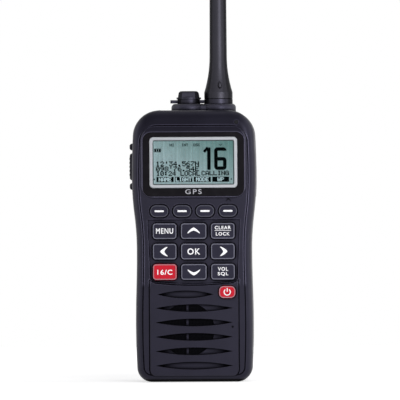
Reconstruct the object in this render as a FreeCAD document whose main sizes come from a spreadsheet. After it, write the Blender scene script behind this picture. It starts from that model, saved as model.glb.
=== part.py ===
import FreeCAD, Part
import math
import operator
import os

import Sketcher
from FreeCAD import Placement, Rotation, Vector

# A handheld VHF marine radio, standing on its flat base.
# +X is the holder's right as they look at the display, -Y is the display side, and +Z is up.
# The origin is the middle of the base. Lengths are in millimetres.

DOC = FreeCAD.newDocument("marine_radio")
SHEET = DOC.addObject("Spreadsheet::Sheet", "sizes")

# Each driving size: its name, its value and what it measures.
SIZES = (
    ("case_width", 62.0, "case across its widest, upper part"),
    ("waist_width", 57.4, "case across the waist, below the keys for the thumb"),
    ("hip_width", 58.7, "case across the loudspeaker"),
    ("case_height", 136.0, "base to the flat of the shoulder"),
    ("bulge_height", 102.0, "height of the widest part"),
    ("waist_height", 66.0, "height of the waist"),
    ("hip_height", 28.0, "height of the lower bulge"),
    ("shoulder", 13.3, "radius of the top corners"),
    ("base_corner", 7.4, "radius of the bottom corners"),
    ("side_sweep", 400.0, "radius of the sides above the bulge and below the hip"),
    ("front_depth", 17.5, "from the middle plane to the front face"),
    ("parting_depth", 3.0, "from the middle plane forward to the joint of the shells"),
    ("back_depth", 17.0, "from the middle plane to the back of the chassis"),
    ("front_round", 5.0, "rounding of the front edges"),
    ("back_round", 2.5, "rounding of the back edges"),
    ("pack_round", 3.0, "rounding of the battery pack's back edges"),
    ("side_wall", 2.5, "side walls of the shells"),
    ("front_wall", 2.2, "front wall of the front case"),
    ("back_wall", 2.0, "back wall of the chassis"),
    ("slack", 0.1, "gap around a piece that is glued or pressed in"),
    ("panel_inset", 3.3, "case edge to the line round the front panel"),
    ("panel_line", 0.6, "width of that line"),
    ("panel_top", 128.6, "height of the line above the display"),
    ("panel_corner", 9.0, "radius of its top corners"),
    ("line_depth", 0.65, "depth of the line below the front face"),
    ("lip_rise", 0.7, "display surround above the front face"),
    ("lip_width", 52.6, "display surround across"),
    ("lip_top", 127.9, "top of the display surround"),
    ("lip_bottom", 91.9, "bottom of the display surround"),
    ("brow_foot", 125.3, "height where the slope above the display starts"),
    ("window_width", 50.8, "black display panel across"),
    ("window_top", 125.0, "top of the display panel"),
    ("window_bottom", 92.8, "bottom of the display panel"),
    ("window_corner", 4.2, "corner radius of the display panel"),
    ("window_thick", 1.2, "thickness of the display panel"),
    ("bezel_width", 43.9, "silver frame across"),
    ("bezel_height", 25.4, "silver frame from top to bottom"),
    ("bezel_middle", 109.8, "height of the middle of the silver frame"),
    ("bezel_band", 1.6, "width of the silver frame's band"),
    ("bezel_rise", 0.35, "silver frame above the display panel"),
    ("lens_thick", 0.9, "clear lens over the display"),
    ("lcd_thick", 1.8, "display cell"),
    ("keypad_top", 81.4, "top of the recess round the keys"),
    ("keypad_bottom", 50.2, "bottom corners of that recess"),
    ("keypad_width", 46.4, "recess across its top"),
    ("keypad_taper", 1.2, "how much each side of the recess comes in at the bottom"),
    ("keypad_sink", 0.6, "depth of the recess"),
    ("keypad_slope", 40.0, "slope of the recess's sides, in degrees"),
    ("keypad_sag", 1.2, "how far its bottom edge dips in the middle"),
    ("speaker_rise", 0.35, "loudspeaker panel above the front face"),
    ("speaker_groove", 0.5, "width and depth of the groove round the loudspeaker panel"),
    ("speaker_panel_width", 44.4, "loudspeaker panel across"),
    ("speaker_panel_bottom", 3.0, "bottom of the loudspeaker panel"),
    ("key_gap", 0.6, "gap round each key in its opening"),
    ("key_rise", 0.75, "keys above the front face"),
    ("side_key_gap", 0.25, "gap round each side key in its opening"),
    ("key_travel", 0.6, "how far a front key presses in"),
    ("key_flange", 0.35, "how far a key's flange reaches past its opening"),
    ("key_flange_thick", 0.8, "thickness of that flange"),
    ("key_stem", 1.4, "length of a key's stem behind its flange"),
    ("soft_key_width", 9.2, "keys under the display, across"),
    ("soft_key_height", 6.0, "keys under the display, up"),
    ("soft_key_pitch", 11.45, "spacing of the keys under the display"),
    ("soft_row", 85.5, "height of the keys under the display"),
    ("side_key_width", 11.9, "outer columns of keys, across"),
    ("middle_key_width", 12.8, "middle column of keys, across"),
    ("key_height", 7.9, "the nine keys, up"),
    ("column_pitch", 14.55, "spacing of the columns"),
    ("top_row", 75.5, "height of the top row of keys"),
    ("row_pitch", 10.2, "spacing of the rows"),
    ("key_corner", 1.6, "corner radius of the nine keys"),
    ("power_key_width", 8.3, "power key across"),
    ("power_key_height", 6.1, "power key up"),
    ("power_key_side", 16.6, "power key from the middle of the radio"),
    ("power_key_level", 44.95, "height of the power key"),
    ("slot_length", 39.0, "loudspeaker slot from tip to tip"),
    ("slot_rise", 3.9, "loudspeaker slot at its widest"),
    ("slot_pitch", 7.2, "spacing of the slots"),
    ("low_slot", 8.2, "height of the lowest slot"),
    ("short_slot_length", 28.2, "top slot, beside the power key"),
    ("short_slot_side", 4.25, "top slot from the middle, to the left"),
    ("slot_depth", 1.75, "depth of the slots"),
    ("speaker_side", 3.4, "loudspeaker from the middle, to the left"),
    ("speaker_level", 26.2, "height of the loudspeaker"),
    ("speaker_radius", 13.9, "loudspeaker"),
    ("speaker_seat", 1.0, "depth of the seat behind the slots"),
    ("seat_rib", 1.0, "upright rib left across that seat"),
    ("mat_thick", 0.8, "rubber mat under the keys"),
    ("pad_rise", 0.4, "contact pads on the mat"),
    ("press_room", 0.1, "gap left between stem and pad when a key is down"),
    ("board_thick", 1.2, "circuit boards"),
    ("board_width", 49.4, "main board across"),
    ("board_bottom", 43.5, "bottom edge of the main board"),
    ("board_top", 121.4, "top edge of the main board"),
    ("post_radius", 2.6, "screw posts in the front case"),
    ("sleeve_radius", 3.0, "screw sleeves in the chassis"),
    ("upper_screw_side", 22.6, "upper case screws from the middle"),
    ("upper_screw_level", 125.4, "height of the upper case screws"),
    ("lower_screw_side", 22.3, "lower case screws from the middle"),
    ("lower_screw_level", 9.4, "height of the lower case screws"),
    ("screw_radius", 1.0, "shank of a case screw"),
    ("screw_head", 2.0, "head of a case screw, radius"),
    ("seal_width", 1.0, "seal between the shells"),
    ("seal_thick", 0.6, "thickness of that seal"),
    ("bay_floor", 6.0, "from the middle plane back to the battery bay"),
    ("bay_top", 92.6, "top of the battery bay"),
    ("shelf", 3.5, "thickness of the shelf under the battery"),
    ("pack_gap", 0.3, "gap round the battery pack"),
    ("pack_thick", 12.2, "battery pack from front to back"),
    ("rail_width", 10.0, "guide rail on top of the pack"),
    ("rail_rise", 1.3, "height of the guide rail"),
    ("cell_thick", 7.0, "battery cells"),
    ("cell_length", 74.0, "height of the battery cells"),
    ("cell_width", 24.0, "width of one battery cell"),
    ("lid_thick", 1.2, "inner lid of the battery pack"),
    ("turret_back", 6.2, "aerial and jack from the middle plane, to the back"),
    ("turret_radius", 8.8, "raised rings on the shoulder, at their foot"),
    ("turret_round", 1.9, "rounding of the raised rings' top edge"),
    ("turret_height", 139.5, "top of the raised rings"),
    ("turret_depth", 4.0, "how far the rings reach down inside"),
    ("bridge_half", 6.4, "bridge between the raised rings, half its depth"),
    ("bridge_drop", 0.7, "top of the bridge below the top of the rings"),
    ("aerial_side", 12.1, "aerial from the middle"),
    ("jack_side", 2.85, "accessory jack from the middle, to the left"),
    ("aerial_base_radius", 7.15, "aerial at its foot"),
    ("aerial_rod_radius", 4.37, "aerial above its flare"),
    ("aerial_tip_radius", 3.7, "aerial at its tip"),
    ("aerial_length", 150.0, "aerial from its foot to its tip"),
    ("aerial_foot", 3.4, "straight foot of the aerial"),
    ("aerial_flare", 18.2, "height of the flare above the foot"),
    ("socket_radius", 3.2, "threaded aerial socket"),
    ("jack_radius", 4.5, "barrel of the accessory jack"),
    ("jack_bore", 2.6, "bore of the accessory jack"),
    ("strap_thick", 2.3, "rubber strap"),
    ("loop_radius", 5.75, "strap loop round the cap's neck"),
    ("tab_length", 3.5, "pull tab on that loop"),
    ("tab_thick", 1.6, "thickness of the pull tab"),
    ("strap_width", 4.4, "strap between the loops"),
    ("cap_width", 11.0, "grip of the jack cap across its foot"),
    ("cap_rise", 4.0, "height of the grip"),
    ("cap_draft", 9.0, "slope of the grip's sides, in degrees"),
    ("cap_round", 1.5, "rounding of the grip's top edge"),
    ("cap_skirt", 6.2, "radius of the skirt at the grip's foot"),
    ("cap_skirt_rise", 0.8, "height of that skirt"),
    ("neck_radius", 2.9, "neck of the jack cap"),
    ("plug_length", 5.0, "plug of the jack cap"),
    ("side_key_back", 6.0, "side keys from the middle plane, to the back"),
    ("side_key_depth", 8.5, "side keys from front to back"),
    ("side_key_rise", 1.75, "side keys above the case side"),
    ("side_key_travel", 0.9, "how far a side key presses in"),
    ("talk_key_level", 107.9, "middle of the push-to-talk key"),
    ("talk_key_height", 13.6, "push-to-talk key up"),
    ("talk_key_corner", 2.6, "its corner radius"),
    ("upper_key_level", 117.9, "middle of the upper side key"),
    ("lower_key_level", 98.0, "middle of the lower side key"),
    ("small_key_height", 3.4, "small side keys up"),
    ("side_key_flange", 0.35, "how far a side key's flange reaches past its opening"),
    ("cavity_ease", 0.5, "gap between the upper hollow and the side wall"),
    ("clip_width", 17.2, "belt clip across"),
    ("clip_thick", 2.0, "thickness of the belt clip"),
    ("clip_stand", 5.1, "belt clip's pin behind the pack"),
    ("clip_pin_level", 80.0, "height of the belt clip's pin"),
    ("clip_pin_radius", 1.5, "pin of the belt clip"),
    ("clip_tip_level", 26.0, "lower end of the belt clip"),
    ("clip_thumb", 14.5, "thumb end of the clip above the pin"),
    ("plate_thick", 1.8, "plate of the clip's bracket"),
    ("ear_thick", 2.2, "ears of the bracket"),
    ("latch_travel", 2.4, "how far the battery latch slides up"),
    ("latch_width", 11.8, "battery latch across its flange"),
)


class Size:
    """A length that knows its value and the expression that gives it from the sheet."""

    def __init__(self, value, text):
        self.value = float(value)
        self.text = text

    def __add__(self, other):
        return joined(self, "+", other)

    def __radd__(self, other):
        return joined(other, "+", self)

    def __sub__(self, other):
        return joined(self, "-", other)

    def __rsub__(self, other):
        return joined(other, "-", self)

    def __mul__(self, other):
        return joined(self, "*", other)

    def __rmul__(self, other):
        return joined(other, "*", self)

    def __truediv__(self, other):
        return joined(self, "/", other)

    def __neg__(self):
        return joined(0, "-", self)


SIGNS = {"+": operator.add, "-": operator.sub, "*": operator.mul, "/": operator.truediv}


def as_size(number):
    """A plain number as a Size, and a Size as it is."""
    return number if isinstance(number, Size) else Size(number, f"{float(number):.6f}")


def joined(left, sign, right):
    """Two sizes joined by a sign, as one Size."""
    left, right = as_size(left), as_size(right)
    return Size(SIGNS[sign](left.value, right.value), f"({left.text} {sign} {right.text})")


def root(size):
    """The square root of a Size."""
    return Size(math.sqrt(size.value), f"sqrt({size.text})")


def worked(name, size, group="shared"):
    """A size worked out from others, kept in the document under its group and its own name."""
    home = DOC.getObject(f"{group}_sizes") or DOC.addObject("App::VarSet", f"{group}_sizes")
    home.addProperty("App::PropertyFloat", name)
    home.setExpression(name, size.text)
    return Size(size.value, f"{group}_sizes.{name}")


def fill_sheet():
    """Puts every driving size in the sheet and gives them back as Sizes by name."""
    found = {}
    for row, (name, value, meaning) in enumerate(SIZES, start=1):
        SHEET.set(f"A{row}", name)
        SHEET.set(f"B{row}", str(value))
        SHEET.set(f"C{row}", meaning)
        SHEET.setAlias(f"B{row}", name)
        found[name] = Size(value, f"sizes.{name}")
    DOC.recompute()
    return found


D = fill_sheet()

# Faces and levels that several pieces share.
FRONT = worked("front", -D["front_depth"])
PARTING = worked("parting", -D["parting_depth"])
INNER_FRONT = worked("inner_front", FRONT + D["front_wall"])
LIP_FACE = worked("lip_face", FRONT - D["lip_rise"])
WINDOW_FLOOR = worked("window_floor", LIP_FACE + D["window_thick"] + D["slack"])
BEZEL_FACE = worked("bezel_face", WINDOW_FLOOR - D["window_thick"] - D["bezel_rise"])
KEY_FACE = worked("key_face", FRONT - D["key_rise"])
STEM_END = worked("stem_end", INNER_FRONT + D["key_flange_thick"] + D["key_stem"])
PAD_TOP = worked("pad_top", STEM_END + D["key_travel"] + D["press_room"])
MAT_FRONT = worked("mat_front", PAD_TOP + D["pad_rise"])
BOARD_FRONT = worked("board_front", MAT_FRONT + D["mat_thick"])
BOARD_BACK = worked("board_back", BOARD_FRONT + D["board_thick"])
PACK_FRONT = worked("pack_front", D["bay_floor"] + D["pack_gap"])
PACK_BACK = worked("pack_back", PACK_FRONT + D["pack_thick"])
PACK_TOP = worked("pack_top", D["bay_top"] - D["pack_gap"])
PACK_BOTTOM = worked("pack_bottom", D["shelf"] + D["pack_gap"])
BAY_WALL = worked("bay_wall", D["bay_floor"] - D["back_wall"])
CAVITY_BACK = worked("cavity_back", D["back_depth"] - D["back_wall"])
SIDE_INNER = worked("side_inner", D["side_wall"] + D["cavity_ease"] - D["case_width"] / 2)
CEILING = worked("ceiling", D["case_height"] - D["side_wall"])
TURRET_FOOT = worked("turret_foot", D["case_height"] - D["turret_depth"])
STRAP_TOP = worked("strap_top", D["turret_height"] + D["strap_thick"])
CLIP_PIN_BACK = worked("clip_pin_back", PACK_BACK + D["clip_stand"])

# ---------------------------------------------------------------- outlines


def box_path(left, low, right, high, corner=None):
    """A rectangle, with rounded corners where a radius is given."""
    if corner is None:
        return [(left, low, 0), (right, low, 0), (right, high, 0), (left, high, 0)]
    c = corner
    return [
        (left + c, low, 0),
        (right - c, low, c),
        (right, low + c, 0),
        (right, high - c, c),
        (right - c, high, 0),
        (left + c, high, c),
        (left, high - c, 0),
        (left, low + c, c),
    ]


def middle_box(x, z, width, height, corner=None):
    """A rectangle about its middle."""
    x, z, width, height = as_size(x), as_size(z), as_size(width), as_size(height)
    left, right = x - width / 2, x + width / 2
    return box_path(left, z - height / 2, right, z + height / 2, corner)


def disc(x, z, radius):
    """A circle."""
    return [(as_size(x), as_size(z), as_size(radius), "circle")]


def lens_path(x, z, length, rise):
    """Two equal arcs that meet in a point at each end."""
    half = length / 2
    bow = (half * half + rise * rise / 4) / rise
    return [(x - half, z, bow), (x + half, z, bow)]


def corner_on_sweep(inset, bulge, level, flat, radius, upward):
    """The arc that turns the swept side into the flat top or base: its middle across and its joint."""
    sweep = D["side_sweep"] - inset
    centre = bulge - D["side_sweep"]
    height = flat - radius if upward else flat + radius
    reach = sweep - radius
    drop = height - level
    across = centre + root(reach * reach - drop * drop)
    joint_x = centre + (across - centre) * sweep / reach
    joint_z = level + drop * sweep / reach
    return across, (joint_x, joint_z)


def waisted_side(inset, top, base, top_corner, base_corner, name):
    """The right side from the base to the top: hip, waist and bulge in tangent arcs."""
    hip, waist, bulge = D["hip_width"] / 2, D["waist_width"] / 2, D["case_width"] / 2
    hip_z, waist_z, bulge_z = D["hip_height"], D["waist_height"], D["bulge_height"]

    def bend(wide, low_level, high_level):
        """Radius of the two equal arcs between a bulge and the waist."""
        step = wide - waist
        half = (high_level - low_level) / 2
        return (half * half + step * step / 4) / step

    def crossing(wide, wide_level, radius):
        """Where the two arcs meet, moved inwards by the inset."""
        x, z = (wide + waist) / 2, (wide_level + waist_z) / 2
        across, up = x - (wide - radius), z - wide_level
        return x - inset * across / radius, z - inset * up / radius

    low_bend = worked("low_bend", bend(hip, hip_z, waist_z), name)
    high_bend = worked("high_bend", bend(bulge, waist_z, bulge_z), name)
    foot, foot_joint = corner_on_sweep(inset, hip, hip_z, base, base_corner, False)
    head, head_joint = corner_on_sweep(inset, bulge, bulge_z, top, top_corner, True)
    low_cross = crossing(hip, hip_z, low_bend)
    high_cross = crossing(bulge, bulge_z, high_bend)
    sweep = D["side_sweep"] - inset
    corners = (
        (foot, base, base_corner),
        (*foot_joint, sweep),
        (hip - inset, hip_z, low_bend - inset),
        (*low_cross, -(low_bend + inset)),
        (waist - inset, waist_z, -(high_bend + inset)),
        (*high_cross, high_bend - inset),
        (bulge - inset, bulge_z, sweep),
        (*head_joint, top_corner),
        (head, top, 0),
    )
    return [
        (worked(f"x{i}", x, name), worked(f"z{i}", z, name), as_size(turn))
        for i, (x, z, turn) in enumerate(corners)
    ]


def case_outline(name, inset, top=None, base=None, top_corner=None, base_corner=None):
    """The radio's outline from the front, moved inwards, with its top and base where asked."""
    inset = as_size(inset)
    top = D["case_height"] - inset if top is None else top
    base = inset if base is None else base
    top_corner = D["shoulder"] - inset if top_corner is None else top_corner
    base_corner = D["base_corner"] - inset if base_corner is None else base_corner
    right = waisted_side(inset, top, base, top_corner, base_corner, name)
    turns = [turn for _, _, turn in right]
    left = [(-x, z) for x, z, _ in reversed(right)]
    left_turns = [*reversed(turns[:-1]), as_size(0)]
    return right + [(x, z, turn) for (x, z), turn in zip(left, left_turns)]


# ---------------------------------------------------------------- bodies

PLANES = {"XZ": ("XZ_Plane", -1), "XY": ("XY_Plane", 1), "YZ": ("YZ_Plane", 1)}


class Piece:
    """One sub-part of the radio: a PartDesign body and the features that shape it."""

    made = []

    def __init__(self, name):
        self.body = DOC.addObject("PartDesign::Body", name)
        self.body.Label = name
        self.body.AllowCompound = True
        self.name = name
        Piece.made.append(self)

    def sketch(self, plane, level, paths, shift=0, lift=0):
        """A fully placed sketch on an origin plane, moved along its normal and within it."""
        role, sign = PLANES[plane]
        drawn = self.body.newObject("Sketcher::SketchObject", f"{self.name}_sketch")
        flat = next(f for f in self.body.Origin.OriginFeatures if f.Role == role)
        drawn.AttachmentSupport = [(flat, "")]
        drawn.MapMode = "FlatFace"
        level, shift, lift = as_size(level) * sign, as_size(shift), as_size(lift)
        offset = Vector(shift.value, lift.value, level.value)
        drawn.AttachmentOffset = Placement(offset, Rotation())
        drawn.setExpression("AttachmentOffset.Base.x", shift.text)
        drawn.setExpression("AttachmentOffset.Base.y", lift.text)
        drawn.setExpression("AttachmentOffset.Base.z", level.text)
        geometry, rules = [], []
        for path in paths:
            trace(path, geometry, rules)
        drawn.addGeometry(geometry)
        drawn.addConstraint([rule for rule, _ in rules])
        for index, (_, size) in enumerate(rules):
            if size is not None:
                drawn.setExpression(f"Constraints[{index}]", size.text)
        return drawn

    def extrude(self, kind, plane, start, end, paths):
        """A pad or pocket of closed paths between two levels along the plane's normal."""
        sign = PLANES[plane][1]
        start, end = as_size(start), as_size(end)
        drawn = self.sketch(plane, start, paths)
        along = (end.value - start.value) * sign > 0
        length = end - start if end.value > start.value else start - end
        feature = self.body.newObject(f"PartDesign::{kind}", f"{self.name}_{kind.lower()}")
        feature.Profile = drawn
        feature.Length = length.value
        feature.setExpression("Length", length.text)
        feature.Reversed = along if kind == "Pocket" else not along
        return feature

    def pad(self, plane, start, end, *paths):
        """Material between two levels."""
        return self.extrude("Pad", plane, start, end, paths)

    def pocket(self, plane, start, end, *paths):
        """A cut between two levels."""
        return self.extrude("Pocket", plane, start, end, paths)

    def turn(self, kind, plane, level, path, shift=0, lift=0, axis="V_Axis"):
        """A Revolution or Groove of a path about an axis of its own sketch."""
        drawn = self.sketch(plane, level, [path], shift, lift)
        feature = self.body.newObject(f"PartDesign::{kind}", f"{self.name}_{kind.lower()}")
        feature.Profile = drawn
        feature.ReferenceAxis = (drawn, [axis])
        feature.Angle = 360.0
        return feature

    def soften(self, kind, size, chosen):
        """A Fillet or Chamfer on the edges that a test picks from the shape so far."""
        DOC.recompute()
        base = self.body.Tip
        edges = [f"Edge{i}" for i, e in enumerate(base.Shape.Edges, 1) if chosen(e)]
        feature = self.body.newObject(f"PartDesign::{kind}", f"{self.name}_{kind.lower()}")
        feature.Base = (base, edges)
        size = as_size(size)
        feature.setExpression("Radius" if kind == "Fillet" else "Size", size.text)
        return feature

    def fillet(self, radius, chosen):
        """Rounds the chosen edges."""
        return self.soften("Fillet", radius, chosen)

    def chamfer(self, size, chosen):
        """Bevels the chosen edges."""
        return self.soften("Chamfer", size, chosen)


def trace(path, geometry, rules):
    """Adds a closed path's lines and arcs, each corner placed and each arc's radius set."""
    if path[0][-1] == "circle":
        x, z, radius, _ = path[0]
        index = len(geometry)
        geometry.append(Part.Circle(Vector(x.value, z.value, 0), Vector(0, 0, 1), radius.value))
        rules.append((Sketcher.Constraint("DistanceX", index, 3, x.value), x))
        rules.append((Sketcher.Constraint("DistanceY", index, 3, z.value), z))
        rules.append((Sketcher.Constraint("Radius", index, radius.value), radius))
        return
    corners = [tuple(as_size(part) for part in corner) for corner in path]
    first = len(geometry)
    ends = []
    for (x, z, turn), (next_x, next_z, _) in zip(corners, corners[1:] + corners[:1]):
        start, stop = Vector(x.value, z.value, 0), Vector(next_x.value, next_z.value, 0)
        if turn.value == 0:
            geometry.append(Part.LineSegment(start, stop))
            ends.append((1, 2))
        else:
            geometry.append(arc(start, stop, turn.value))
            ends.append((1, 2) if turn.value > 0 else (2, 1))
    count = len(corners)
    for step, (x, z, turn) in enumerate(corners):
        index, before = first + step, first + (step - 1) % count
        start, last = ends[step][0], ends[(step - 1) % count][1]
        rules.append((Sketcher.Constraint("Coincident", before, last, index, start), None))
        rules.append((Sketcher.Constraint("DistanceX", index, start, x.value), x))
        rules.append((Sketcher.Constraint("DistanceY", index, start, z.value), z))
        if turn.value != 0:
            radius = turn if turn.value > 0 else -turn
            rules.append((Sketcher.Constraint("Radius", index, radius.value), radius))


def arc(start, stop, turn):
    """The short arc between two points: to the left where turn is positive, else to the right."""
    radius, chord = abs(turn), stop - start
    off = math.sqrt(max(radius**2 - (chord.Length / 2) ** 2, 0.0))
    side = Vector(-chord.y, chord.x, 0).normalize() * math.copysign(off, turn)
    centre = (start + stop) * 0.5 + side
    one, two = (start, stop) if turn > 0 else (stop, start)
    begin = math.atan2(one.y - centre.y, one.x - centre.x)
    finish = math.atan2(two.y - centre.y, two.x - centre.x)
    circle = Part.Circle(centre, Vector(0, 0, 1), radius)
    return Part.ArcOfCircle(circle, begin, finish if finish > begin else finish + 2 * math.pi)


def lies_at(axis, level):
    """A test for edges that lie wholly in a plane across an axis."""
    level = as_size(level).value

    def test(edge):
        box = edge.BoundBox
        low, high = getattr(box, axis + "Min"), getattr(box, axis + "Max")
        return abs(low - level) < 1e-4 and abs(high - level) < 1e-4

    return test


def within(edge, x_reach=None, low=None, high=None):
    """Whether an edge lies inside a half width and between two heights."""
    box = edge.BoundBox
    wide = x_reach is None or max(-box.XMin, box.XMax) < x_reach.value
    above = low is None or box.ZMin > low.value
    below = high is None or box.ZMax < high.value
    return wide and above and below


# ---------------------------------------------------------------- the keys' places


def key_places():
    """Each front key: its name, middle, width, height and corner radius."""
    soft_corner = D["soft_key_height"] / 2 - 0.15
    places = []
    for number in range(4):
        x = D["soft_key_pitch"] * (number - 1.5)
        size = (D["soft_key_width"], D["soft_key_height"], soft_corner)
        places.append((f"soft_key_{number + 1}", x, D["soft_row"], *size))
    names = (
        ("menu_key", "up_key", "clear_key"),
        ("left_key", "ok_key", "right_key"),
        ("channel_key", "down_key", "volume_key"),
    )
    for row, row_names in enumerate(names):
        z = D["top_row"] - D["row_pitch"] * row
        for column, name in enumerate(row_names):
            x = D["column_pitch"] * (column - 1)
            width = D["middle_key_width"] if column == 1 else D["side_key_width"]
            places.append((name, x, z, width, D["key_height"], D["key_corner"]))
    power = (D["power_key_side"], D["power_key_level"], D["power_key_width"])
    corner = D["power_key_height"] / 2 - 0.4
    places.append(("power_key", *power, D["power_key_height"], corner))
    return places


KEYS = key_places()


def side_key_places():
    """Each side key: its name, level, height and corner radius."""
    corner = D["small_key_height"] / 2 - 0.2
    return (
        ("talk_key", D["talk_key_level"], D["talk_key_height"], D["talk_key_corner"]),
        ("upper_side_key", D["upper_key_level"], D["small_key_height"], corner),
        ("lower_side_key", D["lower_key_level"], D["small_key_height"], corner),
    )


def screw_places():
    """Each case screw: its middle, and the level its head seats at."""
    upper_seat = BAY_WALL - 2.0
    upper = (D["upper_screw_side"], D["upper_screw_level"], upper_seat)
    lower = (D["lower_screw_side"], D["lower_screw_level"], BAY_WALL)
    return [(side * x, z, seat) for x, z, seat in (upper, lower) for side in (-1, 1)]


SCREWS = screw_places()

# ---------------------------------------------------------------- front case


def slot_paths():
    """The loudspeaker slots: five full ones, and a short one beside the power key."""
    middle = as_size(0)
    paths = [
        lens_path(middle, D["low_slot"] + D["slot_pitch"] * i, D["slot_length"], D["slot_rise"])
        for i in range(5)
    ]
    top = D["low_slot"] + D["slot_pitch"] * 5 - 0.35
    paths.append(lens_path(-D["short_slot_side"], top, D["short_slot_length"], D["slot_rise"]))
    return paths


def seat_halves(radius):
    """A round seat cut in two by its upright rib."""
    x, z, rib = -D["speaker_side"], D["speaker_level"], D["seat_rib"] / 2
    half = root(radius * radius - rib * rib)
    right = [(x + rib, z - half, radius), (x + rib, z + half, 0)]
    left = [(x - rib, z + half, radius), (x - rib, z - half, 0)]
    # A full half circle is drawn as two arcs, so that each arc is the short way round.
    right.insert(1, (x + radius, z, radius))
    left.insert(1, (x - radius, z, radius))
    return right, left


def keypad_edge(grow=0.0):
    """The recess round the nine keys: sides that come in, and a bottom edge that sags."""
    top, low = D["keypad_width"] / 2 + grow, D["keypad_width"] / 2 - D["keypad_taper"] + grow
    cut = as_size(1.4)
    foot = low - cut
    bow = (foot * foot + D["keypad_sag"] * D["keypad_sag"]) / (D["keypad_sag"] * 2)
    floor = D["keypad_bottom"] - grow
    return [
        (-foot, floor, bow),
        (foot, floor, 0),
        (low, floor + cut, 0),
        (top, D["keypad_top"], 0),
        (-top, D["keypad_top"], 0),
        (-low, floor + cut, 0),
    ]


def speaker_panel_path(grow=0.0):
    """The raised loudspeaker panel, whose top edge follows the recess above it, or its groove."""
    half, corner = D["speaker_panel_width"] / 2 + grow, as_size(3.2) + grow
    top = D["keypad_bottom"] - 0.7 + grow
    foot = half - 2.6
    bow = (foot * foot + D["keypad_sag"] * D["keypad_sag"]) / (D["keypad_sag"] * 2)
    base = D["speaker_panel_bottom"] - grow
    return [
        (-half + corner, base, 0),
        (half - corner, base, corner),
        (half, base + corner, 0),
        (half, top + 1.4, 0),
        (foot, top, -bow),
        (-foot, top, 0),
        (-half, top + 1.4, 0),
        (-half, base + corner, corner),
    ]


def make_front_case():
    """The front shell: display surround, key openings, loudspeaker slots and screw posts."""
    case = Piece("front_case")
    case.pad("XZ", PARTING, FRONT, case_outline("outer", 0))
    case.fillet(D["front_round"], lies_at("Y", FRONT))
    seal_floor = PARTING - D["seal_thick"]
    rim = D["side_wall"] / 2 - D["seal_width"] / 2
    seal_out = case_outline("seal_out", rim)
    seal_in = case_outline("seal_in", rim + D["seal_width"])
    case.pocket("XZ", PARTING, seal_floor, seal_out)
    case.pad("XZ", seal_floor, PARTING, seal_in)
    case.pocket("XZ", PARTING, INNER_FRONT, case_outline("inner", D["side_wall"]))

    line, corner, top = D["panel_inset"], D["panel_corner"], D["panel_top"]
    width = D["panel_line"]
    line_floor = FRONT + D["line_depth"]
    outer = case_outline("line_out", line, top, line, corner)
    inner = case_outline("line_in", line + width, top - width, line + width, corner - width)
    case.pocket("XZ", FRONT - 1, line_floor, outer)
    case.pad("XZ", line_floor, FRONT, inner)

    lip_half = D["lip_width"] / 2
    lip = box_path(-lip_half, D["lip_bottom"], lip_half, D["lip_top"], as_size(6.4))
    case.pad("XZ", INNER_FRONT - 1, LIP_FACE, lip)
    case.chamfer(D["lip_rise"] - 0.15, lies_at("Y", LIP_FACE))
    brow, lip_top = D["brow_foot"], D["lip_top"] + 0.01
    case.pocket("YZ", -lip_half - 1, lip_half + 1, [
        (LIP_FACE, brow, 0), (FRONT, lip_top, 0), (LIP_FACE - 1, lip_top, 0), (LIP_FACE - 1, brow, 0)
    ])

    panel_face = FRONT - D["speaker_rise"]
    groove = D["speaker_groove"]
    case.pocket("XZ", FRONT - 1, FRONT + groove, speaker_panel_path(groove))
    case.pad("XZ", INNER_FRONT - 1, panel_face, speaker_panel_path())
    case.chamfer(D["speaker_rise"] - 0.05, lies_at("Y", panel_face))

    recess = case.pocket("XZ", FRONT, FRONT + D["keypad_sink"], keypad_edge())
    recess.TaperAngle = -D["keypad_slope"].value
    recess.setExpression("TaperAngle", (-D["keypad_slope"]).text)

    window_half = D["window_width"] / 2
    window = box_path(
        -window_half, D["window_bottom"], window_half, D["window_top"], D["window_corner"]
    )
    case.pocket("XZ", LIP_FACE - 1, WINDOW_FLOOR, window)
    width = D["bezel_width"] - 2 * D["bezel_band"] + 2 * D["slack"]
    height = D["bezel_height"] - 2 * D["bezel_band"] + 2 * D["slack"]
    case.pocket("XZ", FRONT, INNER_FRONT + 1, middle_box(0, D["bezel_middle"], width, height))

    grow = 2 * D["key_gap"]
    for _, x, z, w, h, r in KEYS:
        opening = middle_box(x, z, w + grow, h + grow, r + D["key_gap"])
        case.pocket("XZ", KEY_FACE, INNER_FRONT + 1, opening)

    case.pocket("XZ", panel_face - 1, panel_face + D["slot_depth"], *slot_paths())
    right, left = seat_halves(D["speaker_radius"] - 0.4)
    seat_top = INNER_FRONT - D["speaker_seat"]
    case.pocket("XZ", INNER_FRONT, seat_top, right, left)

    case.pocket("XZ", LIP_FACE, INNER_FRONT + 1, disc(LAMP_X, LAMP_Z, LAMP_RADIUS + D["slack"]))
    case.pocket("XZ", panel_face - 1, INNER_FRONT + 1, disc(MIC_X, MIC_Z, 0.6))

    posts = [disc(x, z, D["post_radius"]) for x, z, _ in SCREWS]
    case.pad("XZ", INNER_FRONT - 0.5, PARTING, *posts)
    holes = [disc(x, z, D["screw_radius"] + 0.05) for x, z, _ in SCREWS]
    case.pocket("XZ", PARTING, SCREW_TIP - 0.5, *holes)
    board_posts = [disc(x, z, 1.4) for x, z in BOARD_POSTS]
    case.pad("XZ", INNER_FRONT - 0.5, BOARD_FRONT, *board_posts)

    seal = Piece("case_seal")
    seal.pad("XZ", PARTING, seal_floor, seal_out)
    seal.pocket("XZ", PARTING, seal_floor, seal_in)


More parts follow.
